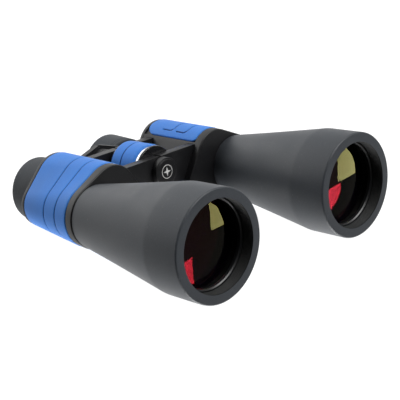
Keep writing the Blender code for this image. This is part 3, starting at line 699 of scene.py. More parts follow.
class ScatterTree:
    """Geometry Nodes tree that stands one shape on each vert of a mesh."""

    NAME = "stand_on_points"

    def __init__(self) -> None:
        """Build the tree with its named inputs."""
        tree = bpy.data.node_groups.new(self.NAME, "GeometryNodeTree")
        self.tree = tree
        self.sockets: dict[str, str] = {}
        for name, kind in (("Points", "Geometry"), ("Shape", "Object"), ("Size", "Float"),
                           ("Material", "Material")):
            socket = tree.interface.new_socket(name, in_out="INPUT",
                                               socket_type=f"NodeSocket{kind}")
            self.sockets[name] = socket.identifier
        tree.interface.new_socket("Geometry", in_out="OUTPUT", socket_type="NodeSocketGeometry")
        source = tree.nodes.new("NodeGroupInput")
        info = tree.nodes.new("GeometryNodeObjectInfo")
        turn = tree.nodes.new("FunctionNodeRandomValue")
        turn.inputs["Seed"].default_value = 7
        turn.inputs[3].default_value = math.tau
        euler = tree.nodes.new("ShaderNodeCombineXYZ")
        rotation = tree.nodes.new("FunctionNodeEulerToRotation")
        copies = tree.nodes.new("GeometryNodeInstanceOnPoints")
        real = tree.nodes.new("GeometryNodeRealizeInstances")
        paint = tree.nodes.new("GeometryNodeSetMaterial")
        sink = tree.nodes.new("NodeGroupOutput")
        for start, end in (
                (source.outputs["Shape"], info.inputs["Object"]),
                (source.outputs["Points"], copies.inputs["Points"]),
                (source.outputs["Size"], copies.inputs["Scale"]),
                (info.outputs["Geometry"], copies.inputs["Instance"]),
                (turn.outputs[1], euler.inputs["Y"]),
                (euler.outputs["Vector"], rotation.inputs["Euler"]),
                (rotation.outputs["Rotation"], copies.inputs["Rotation"]),
                (copies.outputs["Instances"], real.inputs["Geometry"]),
                (real.outputs["Geometry"], paint.inputs["Geometry"]),
                (source.outputs["Material"], paint.inputs["Material"]),
                (paint.outputs["Geometry"], sink.inputs["Geometry"])):
            tree.links.new(start, end)

    def stand(self, name: str, points: Sequence[Vector], shape: bpy.types.Object,
              finish: Finish) -> bpy.types.Object:
        """Stand a shape on each of several points.

        Args:
            name: The new piece's name.
            points: The world points.
            shape: The shape, modelled round the world's origin; the caller removes it.
            finish: The copies' finish.

        Returns:
            The new piece with a plain mesh.
        """
        mesh = bpy.data.meshes.new(name)
        mesh.from_pydata(points, [], [])
        obj = bpy.data.objects.new(name, mesh)
        bpy.context.scene.collection.objects.link(obj)
        modifier = obj.modifiers.new("copies", "NODES")
        modifier.node_group = self.tree
        for key, value in {"Shape": shape, "Size": 1.0, "Material": PALETTE.get(finish)}.items():
            modifier[self.sockets[key]] = value
        return bake_modifiers(obj)


COPIES = CopyTree()
SCATTER = ScatterTree()

# ---------------------------------------------------------------------------------------------
# Objective barrels
# ---------------------------------------------------------------------------------------------


@dataclass
class ObjectiveBarrel:
    """One tapered barrel with its hood, and the threads and ring inside the hood."""

    side: Side
    rim_radius: float = 36.65
    rim_chamfer: float = 0.75
    aperture: float = 30.0
    hood_end: float = 28.6
    hood_end_radius: float = 36.37
    hood_blend: float = 3.0
    neck: float = 114.9
    neck_radius: float = 22.24
    flare_dip: float = 0.21
    spigot_radius: float = 18.6
    spigot_end: float = 121.5
    wall: float = 2.2
    lens_seat: float = 23.5
    lens_seat_radius: float = 27.5
    baffle_count: int = 7
    baffle_pitch: float = 1.05
    baffle_height: float = 0.22
    ring_ends: Point = (8.8, 12.1)
    ring_radii: Point = (28.3, 29.75)
    notch_count: int = 3

    def flare(self) -> list[Corner]:
        """Return the corners of the flare between the hood and the neck, slightly hollow."""
        corners = []
        for i in range(1, 24):
            share = i / 24
            station = self.hood_end + (self.neck - self.hood_end) * share
            straight = self.hood_end_radius + (self.neck_radius - self.hood_end_radius) * share
            corners.append((station, straight - self.flare_dip * 4 * share * (1 - share), 0.0))
        return corners

    def build_shell(self) -> None:
        """Build the barrel as one turned shell."""
        corners = [(0.0, self.aperture, 0.0),
                   (0.0, self.rim_radius - self.rim_chamfer, 0.3),
                   (self.rim_chamfer, self.rim_radius, 0.3),
                   (self.hood_end, self.hood_end_radius, self.hood_blend)]
        corners += self.flare()
        corners += [(self.neck, self.neck_radius, 0.4), (self.neck, self.spigot_radius, 0.2),
                    (self.spigot_end, self.spigot_radius, 0.3),
                    (self.spigot_end, self.spigot_radius - self.wall, 0.0),
                    (self.neck, self.spigot_radius - self.wall, 0.0),
                    (self.neck - self.wall, self.neck_radius - self.wall, 0.0),
                    (self.lens_seat + self.wall, self.lens_seat_radius, 0.0),
                    (self.lens_seat, self.lens_seat_radius, 0.0),
                    (self.lens_seat, self.aperture, 0.0),
                    (self.rim_chamfer, self.aperture, 0.0), (0.25, self.aperture + 0.1, 0.0)]
        bm = turned(rounded(corners), self.side.axis(OBJECTIVE_AXIS), FINE)
        obj = to_object("barrel" + self.side.suffix, bm, (GREY_RUBBER, MATT_BLACK))
        axis = place(self.side.value * OBJECTIVE_AXIS[0], 0, 0)
        for face in obj.data.polygons:
            off_axis = math.hypot(face.center.x - axis.x, face.center.z - axis.z) / MM
            depth = face.center.y / MM - FRONT_Y
            share = max(0.0, (depth - self.hood_end) / (self.neck - self.hood_end))
            outside = self.hood_end_radius + (self.neck_radius - self.hood_end_radius) * share
            if depth > 0.3 and off_axis < outside - self.wall * 0.6 or depth > self.neck + 0.2:
                face.material_index = 1
        settle(obj, self.side.half, "grey_rubber", "objective_barrel" + self.side.suffix)

    def build_baffles(self) -> None:
        """Build the fine light-trap threads inside the hood."""
        half = self.baffle_pitch / 2
        profile = [(-half * 0.8, self.aperture + 0.05), (0.0, self.aperture - self.baffle_height),
                   (half * 0.8, self.aperture + 0.05)]
        bm = turned(profile, (0.0, 0.0), FINE, at_origin)
        ring = to_object("hood_threads" + self.side.suffix, bm, (MATT_BLACK,), math.radians(60))
        first = self.ring_ends[0] - self.baffle_count * self.baffle_pitch
        centre = place(self.side.value * OBJECTIVE_AXIS[0], first, 0)
        COPIES.repeat(ring, self.baffle_count, centre, MATT_BLACK,
                      shift=Vector((0, self.baffle_pitch * MM, 0)))
        settle(ring, self.side.half, "black_plastic")

    def build_lens_ring(self) -> None:
        """Build the threaded ring that holds the lenses, with its spanner notches drawn as thin matt
        black plates: painted shade where the slots would be.
        """
        front, rear = self.ring_ends
        bore, outer = self.ring_radii
        corners = [(front + 0.8, bore, 0.0), (front, bore + 0.7, 0.15), (front, outer, 0.15),
                   (rear, outer, 0.2), (rear, bore, 0.2), (front + 1.6, bore, 0.0)]
        bm = turned(rounded(corners, 2), self.side.axis(OBJECTIVE_AXIS), FINE)
        ring = to_object("lens_ring" + self.side.suffix, bm, (SATIN_BLACK,))
        settle(ring, self.side.half, "black_plastic", "lens_retaining_ring" + self.side.suffix)
        bm = bmesh.new()
        bmesh.ops.create_cube(bm, size=MM)
        bmesh.ops.scale(bm, verts=bm.verts, vec=(3.2, 0.16, 1.0))
        bmesh.ops.bevel(bm, geom=bm.edges[:], offset=0.05 * MM, segments=2, affect="EDGES")
        middle = (bore + 0.7 + outer) / 2 - 0.06
        bmesh.ops.translate(bm, verts=bm.verts, vec=(0, 0, middle * MM))
        # Painted shade: each notch is a thin matt black plate on the ring's face, not a cut slot.
        notch = to_object("lens_ring_notches" + self.side.suffix, bm, (MATT_BLACK,))
        centre = place(self.side.value * OBJECTIVE_AXIS[0], front, 0)
        COPIES.repeat(notch, self.notch_count, centre, MATT_BLACK,
                      turn=math.tau / self.notch_count, phase=math.radians(140))
        settle(notch, self.side.half, "black_plastic")

    def build(self) -> None:
        """Build every piece of this barrel."""
        self.build_shell()
        self.build_baffles()
        self.build_lens_ring()


@dataclass
class Doublet:
    """The two cemented-looking lenses behind one hood, each with a coloured coating."""

    side: Side
    radius: float = 29.7
    front: float = 9.5
    crown_rear: float = 19.8
    gap: float = 0.3
    flint_rear: float = 23.1
    front_curve: float = 164.0
    middle_curve: float = 150.0
    steps: int = 14

    def face(self, vertex: float, curve: float) -> list[Point]:
        """Return a spherical face's profile, from its pole to its edge."""
        shares = (i / self.steps for i in range(self.steps + 1))
        radii = [self.radius * share for share in shares]
        return [(vertex + math.copysign(1, curve) * (abs(curve) - math.sqrt(curve ** 2 - r * r)), r)
                for r in radii]

    def build(self) -> None:
        """Build both lenses."""
        axis = self.side.axis(OBJECTIVE_AXIS)
        front = self.face(self.front, self.front_curve)
        back = self.face(self.crown_rear, -self.middle_curve)[::-1]
        crown = to_object("crown" + self.side.suffix, turned(front + back, axis, FINE),
                          (CROWN_COAT, CROWN_CLEAR))
        for face in crown.data.polygons:
            if face.normal.y > -0.2:
                face.material_index = 1
        settle(crown, self.side.half, "coated_glass", "crown_lens" + self.side.suffix)
        near = self.face(self.crown_rear + self.gap, -self.middle_curve)
        profile = near + [(self.flint_rear, self.radius), (self.flint_rear, 0.0)]
        flint = to_object("flint" + self.side.suffix, turned(profile, axis, FINE), (FLINT_COAT,))
        settle(flint, self.side.half, "coated_glass", "flint_lens" + self.side.suffix)


# ---------------------------------------------------------------------------------------------
# Prism housings
# ---------------------------------------------------------------------------------------------


@dataclass(frozen=True)
class HousingShape:
    """The outline of one prism housing: a line stretched round three circles.

    Each circle is (x, height, radius) on the left half. The covered part of the outline lies
    under the armour, and the bare part is the flank that faces the hinge.
    """

    front: float = 115.0
    rear: float = 176.0
    front_circles: tuple[Circle, ...] = ((67.44, 0.0, 23.0), (50.5, 11.2, 20.0), (35.3, -5.7, 16.0))
    rear_circles: tuple[Circle, ...] = ((67.44, 0.0, 16.3), (50.2, 12.0, 20.2), (35.3, -5.7, 16.0))
    armour_top: float = math.radians(138.5)
    armour_bottom: float = math.radians(-95.0)

    def circles(self, station: float) -> list[Circle]:
        """Return the three circles at a station."""
        share = (station - self.front) / (self.rear - self.front)
        return [tuple(a + (b - a) * share for a, b in zip(first, second))
                for first, second in zip(self.front_circles, self.rear_circles)]

    @staticmethod
    def leave_angle(first: Circle, second: Circle) -> float:
        """Return the facing angle where the outline leaves one circle for the next."""
        edge = math.atan2(second[1] - first[1], second[0] - first[0])
        return edge - math.acos((first[2] - second[2]) / math.dist(first[:2], second[:2]))

    def covered(self, station: float, offset: float, density: int = 1,
                slack: float = 0.0) -> list[Point]:
        """Walk the outline under the armour, from its lower edge round the outside to its top.

        Args:
            station: Where along the housing.
            offset: How far outside the outline.
            density: How finely the arcs and straight stretches are divided.
            slack: The angle left free at both ends.

        Returns:
            The (x, height) points on the left half.
        """
        outer, middle, inner = self.circles(station)
        lower = self.leave_angle(inner, outer)
        upper = self.leave_angle(outer, middle)
        spots = arc(inner[:2], inner[2] + offset, self.armour_bottom + slack, lower, density)
        around = arc(outer[:2], outer[2] + offset, lower, upper, 12 * density)
        over = arc(middle[:2], middle[2] + offset, upper, self.armour_top - slack, 8 * density)
        spots += self.between(spots[-1], around[0], 3 * density) + around
        return spots + self.between(spots[-1], over[0], 2 * density) + over

    def bare(self, station: float, offset: float) -> list[Point]:
        """Return the bare outline, from the armour's top down the flank to its lower edge."""
        _, middle, inner = self.circles(station)
        flank = self.leave_angle(middle, inner) % math.tau
        return (arc(middle[:2], middle[2] + offset, self.armour_top, flank, 10)
                + arc(inner[:2], inner[2] + offset, flank, self.armour_bottom + math.tau, 20))

    @staticmethod
    def between(start: Point, end: Point, pieces: int) -> list[Point]:
        """Return the points strictly between two others on a straight line."""
        return [(start[0] + (end[0] - start[0]) * i / pieces,
                 start[1] + (end[1] - start[1]) * i / pieces) for i in range(1, pieces)]

    def whole(self, station: float, bare_offset: float, covered_offset: float) -> list[Point]:
        """Return one closed outline, stepped where the armour's edges lie."""
        return self.bare(station, bare_offset) + self.covered(station, covered_offset, 3)


SHAPE = HousingShape()


@dataclass
class Knuckle:
    """A lug or arm that reaches the hinge, with an ear round the tube on half its thickness."""

    side: Side
    ends: Point
    upper: float = 23.6
    lower: float = 1.0
    upper_split: float = math.radians(85.5)
    lower_split: float = math.radians(-73.0)
    ear_radius: float = 9.3
    clear_radius: float = 9.6
    gap: float = 0.3
    edge: float = 0.45

    def outline(self, far_points: Sequence[Point], radius: float, owns_ear: bool) -> list[Point]:
        """Return the outline with the ear, or cleared for the other half's ear."""
        upper = (self.upper - HINGE_AXIS[1]) / math.sin(self.upper_split)
        lower = (self.lower - HINGE_AXIS[1]) / math.sin(self.lower_split)
        end = self.lower_split + (math.tau if owns_ear else 0)
        return ([polar(HINGE_AXIS, upper, self.upper_split)]
                + arc(HINGE_AXIS, radius, self.upper_split, end, 36)
                + [polar(HINGE_AXIS, lower, self.lower_split)] + list(far_points))

    def build(self, name: str, finish: Finish, far_points: Sequence[Point],
              *holes: tuple[Point, float]) -> bpy.types.Object:
        """Build the knuckle with its holes and rounded edges.

        Args:
            name: The object's name.
            finish: Its finish.
            far_points: Its outline away from the hinge, from the lower to the upper edge.
            holes: The axis and the radius of each hole through it.

        Returns:
            The new object.
        """
        ear = self.outline(far_points, self.ear_radius, True)
        clear = self.outline(far_points, self.clear_radius, False)
        middle = sum(self.ends) / 2 - self.side.value * self.gap / 2
        order = [(ear, self.ends[0]), (ear, middle), (clear, middle), (clear, self.ends[1])]
        if self.side is Side.RIGHT:
            order = [(clear, self.ends[0]), (clear, middle), (ear, middle), (ear, self.ends[1])]
        bm = bmesh.new()
        rings = [add_ring(bm, self.side, outline, station) for outline, station in order]
        for first, second in zip(rings, rings[1:]):
            skin(bm, first, second)
        bm.faces.new(rings[0])
        bm.faces.new(rings[-1])
        obj = to_object(name, bm, (finish,))
        for axis, radius in holes:
            drill(obj, (self.ends[0] - 1, self.ends[1] + 1), radius, axis)
        return bevelled(obj, self.edge)


@dataclass
class PrismHousing:
    """One prism housing: its shell and the two lugs that meet the hinge."""

    side: Side
    face_round: float = 0.9
    flange_end: float = 122.0
    recess: float = 1.3
    bare_wall: float = 2.2
    covered_wall: float = 1.6
    plate_end: float = 118.5
    stations: tuple[float, ...] = (122.0, 136.0, 149.0, 162.0, 176.0)
    barrel_hole: float = 18.9
    lug_root: float = 1.2
    front_lug: Point = (121.0, 128.0)
    rear_lug: Point = (165.0, 172.0)
    hinge_bore: float = 6.8

    def build_shell(self) -> bpy.types.Object:
        """Build the shell, open at the rear and holed for the barrel in front.

        Returns:
            The shell.
        """
        bm = bmesh.new()
        rows = []
        for i in range(6):
            angle = math.pi / 2 * i / 5
            rows.append((SHAPE.front + self.face_round * (1 - math.sin(angle)),
                         -self.face_round * (1 - math.cos(angle)),
                         -self.face_round * (1 - math.cos(angle))))
        rows = rows[::-1] + [(self.flange_end - 0.4, 0, 0), (self.flange_end, 0, -0.4)]
        rows += [(station, 0, -self.recess) for station in self.stations]
        inner = -self.recess - self.covered_wall
        rows += [(station, -self.bare_wall, inner) for station in self.stations[::-1]]
        rows.append((self.plate_end, -self.bare_wall, inner))
        rows = [row for i, row in enumerate(rows) if i == 0 or row != rows[i - 1]]
        rings = [add_ring(bm, self.side, SHAPE.whole(station, bare, covered), station)
                 for station, bare, covered in rows]
        for first, second in zip(rings, rings[1:]):
            skin(bm, first, second)
        hole = arc(OBJECTIVE_AXIS, self.barrel_hole, 0, math.tau, ROUND)[:-1]
        holes = [add_ring(bm, self.side, hole, rows[i][0]) for i in (0, -1)]
        plate(bm, rings[0], holes[0])
        plate(bm, rings[-1], holes[1])
        skin(bm, *holes)
        return to_object("housing" + self.side.suffix, bm, (BLACK_PLASTIC,))

    def far_points(self, lug: Knuckle) -> list[Point]:
        """Return a lug's far outline, just inside the housing's flank."""
        _, middle, inner = SHAPE.circles(sum(lug.ends) / 2)
        lower_radius = inner[2] - self.lug_root
        upper_radius = middle[2] - self.lug_root
        lower = math.pi - math.asin((lug.lower - inner[1]) / lower_radius)
        upper = math.pi - math.asin((lug.upper - middle[1]) / upper_radius)
        flank = SHAPE.leave_angle(middle, inner) % math.tau
        return (arc(inner[:2], lower_radius, lower, flank, 3)
                + arc(middle[:2], upper_radius, flank, upper, 5))

    def build(self) -> None:
        """Build the shell and its lugs as one piece."""
        shell = self.build_shell()
        lugs = []
        for label, ends in (("front", self.front_lug), ("rear", self.rear_lug)):
            lug = Knuckle(self.side, ends)
            lugs.append(lug.build(f"{label}_lug", BLACK_PLASTIC, self.far_points(lug),
                                  (HINGE_AXIS, self.hinge_bore)))
        join(shell, *lugs)
        settle(shell, self.side.half, "black_plastic", "prism_housing" + self.side.suffix)


@dataclass
class Armour:
    """The blue rubber cover on one housing, with two grooves that end in hooks on top."""

    side: Side
    front: float = 122.3
    rear: float = 175.7
    proud: float = 0.4
    thickness: float = 1.4
    slack: float = math.radians(1.0)
    edge_round: float = 0.9
    corner_rear: float = 9.5
    corner_front: float = 3.5
    grooves: Point = (135.5, 149.5)
    groove_half: float = 0.7
    groove_depth: float = 0.85
    hook_reach: float = 10.0
    hook_inset: float = 6.0
    hook_round: float = 3.0
    fine_span: float = 14.0
    walks: dict[Point, list[Point]] = field(default_factory=dict)

    def stations(self) -> list[float]:
        """Return the stations of the grid's lines, close together round the grooves."""
        first, second = self.grooves
        spots = [self.front + 4.0 + i * 1.6 for i in range(5)]
        station = first - 1.6
        while station < second + self.hook_reach + 1.6:
            spots.append(station)
            station += 0.4
        spots += [station + (self.rear - 8.5 - station) * i / 5 for i in range(6)]
        return sorted(set(round(spot, 3) for spot in spots))

    def corner(self, distance: float, radius: float) -> float:
        """Return how far a rounded corner pulls the end edge in, at a distance from the side."""
        if distance >= radius:
            return 0.0
        return radius - math.sqrt(radius ** 2 - (radius - distance) ** 2)

    def groove_cut(self, station: float, from_top: float) -> float:
        """Find how deep a groove is at a point of the skin.

        Args:
            station: The point's station.
            from_top: Its distance from the armour's top edge, along the skin.

        Returns:
            The depth there.
        """
        nearest = 9.0
        for groove in self.grooves:
            bend = self.hook_inset + self.hook_round
            if from_top >= bend:
                distance = abs(station - groove)
            elif station <= groove + self.hook_round:
                centre = (groove + self.hook_round, bend)
                distance = abs(math.dist((station, from_top), centre) - self.hook_round)
            else:
                past = max(0.0, station - groove - self.hook_reach)
                distance = math.hypot(from_top - self.hook_inset, past)
            nearest = min(nearest, distance)
        return self.groove_depth * (1 - smoothstep(nearest / self.groove_half))

    def build(self) -> None:
        """Build the cover as a skin and a lining joined round their edges."""
        middle = (self.front + self.rear) / 2
        walk = SHAPE.covered(middle, self.proud, 4, self.slack)
        lengths = [0.0]
        for first, second in zip(walk, walk[1:]):
            lengths.append(lengths[-1] + math.dist(first, second))
        total = lengths[-1]
        top = [total - i * 0.4 for i in range(int(self.fine_span / 0.4))]
        below = [d for d in lengths if d < top[-1] - 0.6 and d > 1.2]
        distances = sorted([0.0, 0.3, 0.6, 0.9] + below + top)
        columns = self.stations()
        edge = [0.0, 0.25, 0.5, 0.75, 1.0]
        bm = bmesh.new()
        skins = []
        for lining in (False, True):
            grid = []
            for distance in distances:
                side_gap = min(distance, total - distance)
                front = self.front + self.corner(total - distance, self.corner_front)
                rear = self.rear - self.corner(total - distance, self.corner_rear)
                row = [front + self.edge_round * e for e in edge] + columns
                row += [rear - self.edge_round * e for e in edge[::-1]]
                points = []
                for station in row:
                    if lining:
                        offset = self.proud - self.thickness
                    else:
                        near = min(side_gap, station - front, rear - station)
                        share = 1 - min(max(near / self.edge_round, 0.0), 1.0)
                        offset = self.proud - self.edge_round * (1 - math.sqrt(1 - share ** 2))
                        offset -= self.groove_cut(station, total - distance)
                    points.append(self.skin_point(lengths, distance, station, offset))
                grid.append([bm.verts.new(point) for point in points])
            skins.append(grid)
        for grid in skins:
            for first, second in zip(grid, grid[1:]):
                for i in range(len(first) - 1):
                    bm.faces.new((first[i], first[i + 1], second[i + 1], second[i]))
        outer, inner = skins
        borders = [(outer[0], inner[0]), (outer[-1], inner[-1]),
                   ([row[0] for row in outer], [row[0] for row in inner]),
                   ([row[-1] for row in outer], [row[-1] for row in inner])]
        for first, second in borders:
            for i in range(len(first) - 1):
                bm.faces.new((first[i], first[i + 1], second[i + 1], second[i]))
        obj = to_object("armour_cover" + self.side.suffix, bm, (BLUE_RUBBER, BLUE_GROOVE_PAINTED_SHADE),
                        math.radians(50))
        # Painted shade: the groove bottoms get the darker blue.
        self.paint_grooves(obj, lengths, total)
        settle(obj, self.side.half, "blue_rubber", "armour" + self.side.suffix)

    def skin_point(self, lengths: Sequence[float], distance: float, station: float,
                   offset: float) -> Vector:
        """Find a point of the cover.

        Args:
            lengths: How far along the outline each of its points lies, at the middle station.
            distance: How far along the outline this point lies.
            station: Its station.
            offset: How far it stands outside the outline.

        Returns:
            The world point.
        """
        key = round(station, 3), round(offset, 3)
        if key not in self.walks:
            self.walks[key] = SHAPE.covered(station, offset, 4, self.slack)
        walk = self.walks[key]
        upper = next(i for i, length in enumerate(lengths) if length >= distance - 1e-9)
        lower = max(upper - 1, 0)
        stretch = lengths[upper] - lengths[lower]
        share = (distance - lengths[lower]) / stretch if stretch else 0.0
        x = walk[lower][0] + (walk[upper][0] - walk[lower][0]) * share
        height = walk[lower][1] + (walk[upper][1] - walk[lower][1]) * share
        return place(self.side.value * x, station, height)

    def paint_grooves(self, obj: bpy.types.Object, lengths: Sequence[float], total: float) -> None:
        """Paint shade into the groove bottoms: their faces get the darker blue.

        Args:
            obj: The cover.
            lengths: How far along the outline each of its points lies.
            total: The outline's length.
        """
        middle = (self.front + self.rear) / 2
        walk = SHAPE.covered(middle, 0.0, 4, self.slack)
        for face in obj.data.polygons:
            station = face.center.y / MM - FRONT_Y
            if not self.grooves[0] - 2 < station < self.grooves[1] + self.hook_reach + 2:
                continue
            spot = (self.side.value * face.center.x / MM, face.center.z / MM - OBJECTIVE_Z)
            nearest = min(range(len(walk)), key=lambda i: math.dist(walk[i], spot))
            if nearest >= len(walk) - 2:
                from_top = math.dist(walk[-1], spot)
            else:
                from_top = total - lengths[nearest]
                if total - lengths[nearest] < self.fine_span + 2:
                    from_top = math.dist(walk[-1], spot)
            # The deeper groove faces get the darker blue as painted shade.
            if self.groove_cut(station, from_top) > self.groove_depth * 0.45:
                face.material_index = 1


@dataclass
class RearCover:
    """The black cover behind one housing, with the guide for the eyepiece and its screws."""

    side: Side
    front: float = 176.3
    rear: float = 180.2
    edge_round: float = 2.2
    guide_radius: float = 15.5
    guide_end: float = 184.9
    bore: float = 13.0
    screw_inset: float = 4.6
    screw_gap: float = 0.1
    screw_places: tuple[tuple[int, float], ...] = ((0, 25.0), (0, -80.0), (1, 105.0))
    head_radius: float = 2.2
    head_height: float = 1.2
    shank: float = 1.1
    cross_reach: float = 1.25
    cross_half: float = 0.3

    def build_cover(self) -> None:
        """Build the cover as one shell with its guide."""
        bm = bmesh.new()
        rows = [(self.front, -0.3), (self.front + 0.3, 0.0)]
        for i in range(9):
            angle = math.pi / 2 * i / 8
            rows.append((self.rear - self.edge_round * (1 - math.sin(angle)),
                         -self.edge_round * (1 - math.cos(angle))))
        rings = [add_ring(bm, self.side, SHAPE.whole(SHAPE.rear, inset, inset), station)
                 for station, inset in rows]
        for first, second in zip(rings, rings[1:]):
            skin(bm, first, second)
        guide = [(self.rear, self.guide_radius), (self.guide_end - 0.4, self.guide_radius),
                 (self.guide_end, self.guide_radius - 0.4), (self.guide_end, self.bore + 0.3),
                 (self.guide_end - 0.3, self.bore), (self.front, self.bore)]
        holes = [add_ring(bm, self.side, arc(EYEPIECE_AXIS, radius, 0, math.tau, ROUND)[:-1],
                          station) for station, radius in guide]
        plate(bm, rings[-1], holes[0])
        for first, second in zip(holes, holes[1:]):
            skin(bm, first, second)
        plate(bm, rings[0], holes[-1])
        obj = to_object("rear_plate" + self.side.suffix, bm, (BLACK_PLASTIC,))
        settle(obj, self.side.half, "black_plastic", "rear_cover" + self.side.suffix)

    def build_screws(self) -> None:
        """Build the cross-head screws, one shape stood at each place."""
        top, rim = self.head_height, self.head_radius
        profile = rounded([(-3.5, 0.0, 0.0), (-3.5, self.shank, 0.2), (0.0, self.shank, 0.0),
                           (0.0, rim, 0.15), (top, rim - 0.1, 0.6), (top, rim - 0.8, 0.0)])
        bm = turned(profile[:-1], (0.0, 0.0), 32, at_origin)
        bm.verts.ensure_lookup_table()
        bmesh.ops.delete(bm, geom=[f for f in bm.faces if len(f.verts) == 32], context="FACES")
        half, reach = self.cross_half, self.cross_reach
        cross = []
        for i in range(4):
            turn = Matrix.Rotation(math.pi / 2 * i, 2)
            cross += [turn @ Vector(p) for p in ((half, half), (half, reach), (-half, reach))]
        loops = [[bm.verts.new(at_origin(x, top - depth, z)) for x, z in cross]
                 for depth in (0.0, 0.75)]
        ring = [bm.verts.new(at_origin(x, top, z))
                for x, z in arc((0, 0), rim - 0.8, 0, math.tau, 32)[:-1]]
        plate(bm, ring, loops[0])
        skin(bm, *loops)
        bm.faces.new(loops[1])
        screw = to_object("cover_screw_shape", bm, (SCREW_STEEL,))
        points = []
        for circle, degrees in self.screw_places:
            x, height, radius = SHAPE.circles(SHAPE.rear)[circle]
            spot = polar((x, height), radius - self.screw_inset, math.radians(degrees))
            x, height = self.side.axis(spot)
            points.append(place(x, self.rear + self.screw_gap, height))
        screws = SCATTER.stand("cover_screws" + self.side.suffix, points, screw, SCREW_STEEL)
        bpy.data.objects.remove(screw)
        settle(screws, self.side.half, "steel",
               *(f"cover_screw_{label}{self.side.suffix}" for label in ("outer", "lower", "top")))

    def build(self) -> None:
        """Build the cover and its screws."""
        self.build_cover()
        self.build_screws()


# ---------------------------------------------------------------------------------------------
# Hinge, focus wheel and bridge
# ---------------------------------------------------------------------------------------------


@dataclass
class Hinge:
    """What sits on the hinge axis: the front cap with its mark, the collar and the sleeve."""

    cap_radius: float = 10.2
    cap_round: float = 0.7
    cap_bore: float = 9.6
    cap_length: float = 5.2
    cap_face: float = 2.0
    plug_radius: float = 2.8
    plug_end: float = 124.0
    star_reach: float = 3.4
    star_waist: float = 1.1
    star_ring: float = 5.0
    mark_height: float = 0.1
    collar_flange: float = 17.3
    collar_flange_end: float = 129.9
    collar_radius: float = 15.1
    bore: float = 6.8

    def build_cap(self) -> None:
        """Build the screw-in cap over the tripod socket."""
        front = span("hinge_cap")[0]
        skirt = front + self.cap_length
        floor = front + self.cap_face
        corners = [(front, 0.0, 0.0), (front, self.cap_radius - 1.5, 0.2),
                   (front + 0.25, self.cap_radius - 1.2, 0.2),
                   (front + 0.25, self.cap_radius, self.cap_round),
                   (skirt, self.cap_radius, 0.2), (skirt, self.cap_bore, 0.1),
                   (floor, self.cap_bore, 0.0), (floor, self.plug_radius, 0.0),
                   (self.plug_end, self.plug_radius, 0.3), (self.plug_end, 0.0, 0.0)]
        cap = to_object("tripod_cap", turned(rounded(corners), HINGE_AXIS, ROUND),
                        (BLACK_PLASTIC,))
        settle(cap, "left_half", "black_plastic", "hinge_cap")

    def build_mark(self) -> None:
        """Build a plain four-pointed star in a ring, printed on the cap."""
        front = span("hinge_cap")[0]
        outline = []
        for i in range(8):
            radius = self.star_waist if i % 2 else self.star_reach
            outline.append(polar(HINGE_AXIS, radius, math.pi / 4 * i))
        bm = bmesh.new()
        depths = (front - self.mark_height, front + self.mark_height)
        rings = [add_ring(bm, Side.LEFT, outline, station) for station in depths]
        skin(bm, *rings)
        for ring in rings:
            bm.faces.new(ring)
        star = to_object("cap_star", bm, (WHITE_INK,))
        profile = [(depths[0], self.star_ring), (depths[1], self.star_ring),
                   (depths[1], self.star_ring - 0.4), (depths[0], self.star_ring - 0.4)]
        circle = to_object("cap_circle", turned(profile, HINGE_AXIS, ROUND), (WHITE_INK,))
        join(star, circle)
        settle(star, "left_half", "black_plastic")

    def build_collar(self) -> None:
        """Build the glossy collar in front of the focus wheel, and the sleeve behind it."""
        front, rear = span("hinge_collar")
        corners = [(front, self.bore, 0.0), (front, self.collar_flange - 0.2, 0.5),
                   (self.collar_flange_end, self.collar_flange, 0.4),
                   (self.collar_flange_end, self.collar_radius, 0.1),
                   (rear, self.collar_radius, 0.2), (rear, self.bore, 0.0)]
        collar = to_object("glossy_collar", turned(rounded(corners), HINGE_AXIS, FINE),
                           (GLOSS_PLASTIC,))
        settle(collar, "left_half", "black_plastic", "hinge_collar")
        front, rear = span("rear_sleeve")
        radius = (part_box("rear_sleeve")[1].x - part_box("rear_sleeve")[0].x) / 2 / MM
        corners = [(front, self.bore, 0.0), (front, radius, 0.4), (front + 2.6, radius, 0.2),
                   (front + 3.0, radius - 0.5, 0.2), (front + 3.4, radius, 0.2),
                   (rear, radius, 0.4), (rear, self.bore, 0.0)]
        sleeve = to_object("wheel_sleeve", turned(rounded(corners), HINGE_AXIS, ROUND),
                           (BLACK_PLASTIC,))
        settle(sleeve, "left_half", "black_plastic", "rear_sleeve")

    def build(self) -> None:
        """Build the cap with its mark, the collar and the sleeve."""
        self.build_cap()
        self.build_mark()
        self.build_collar()


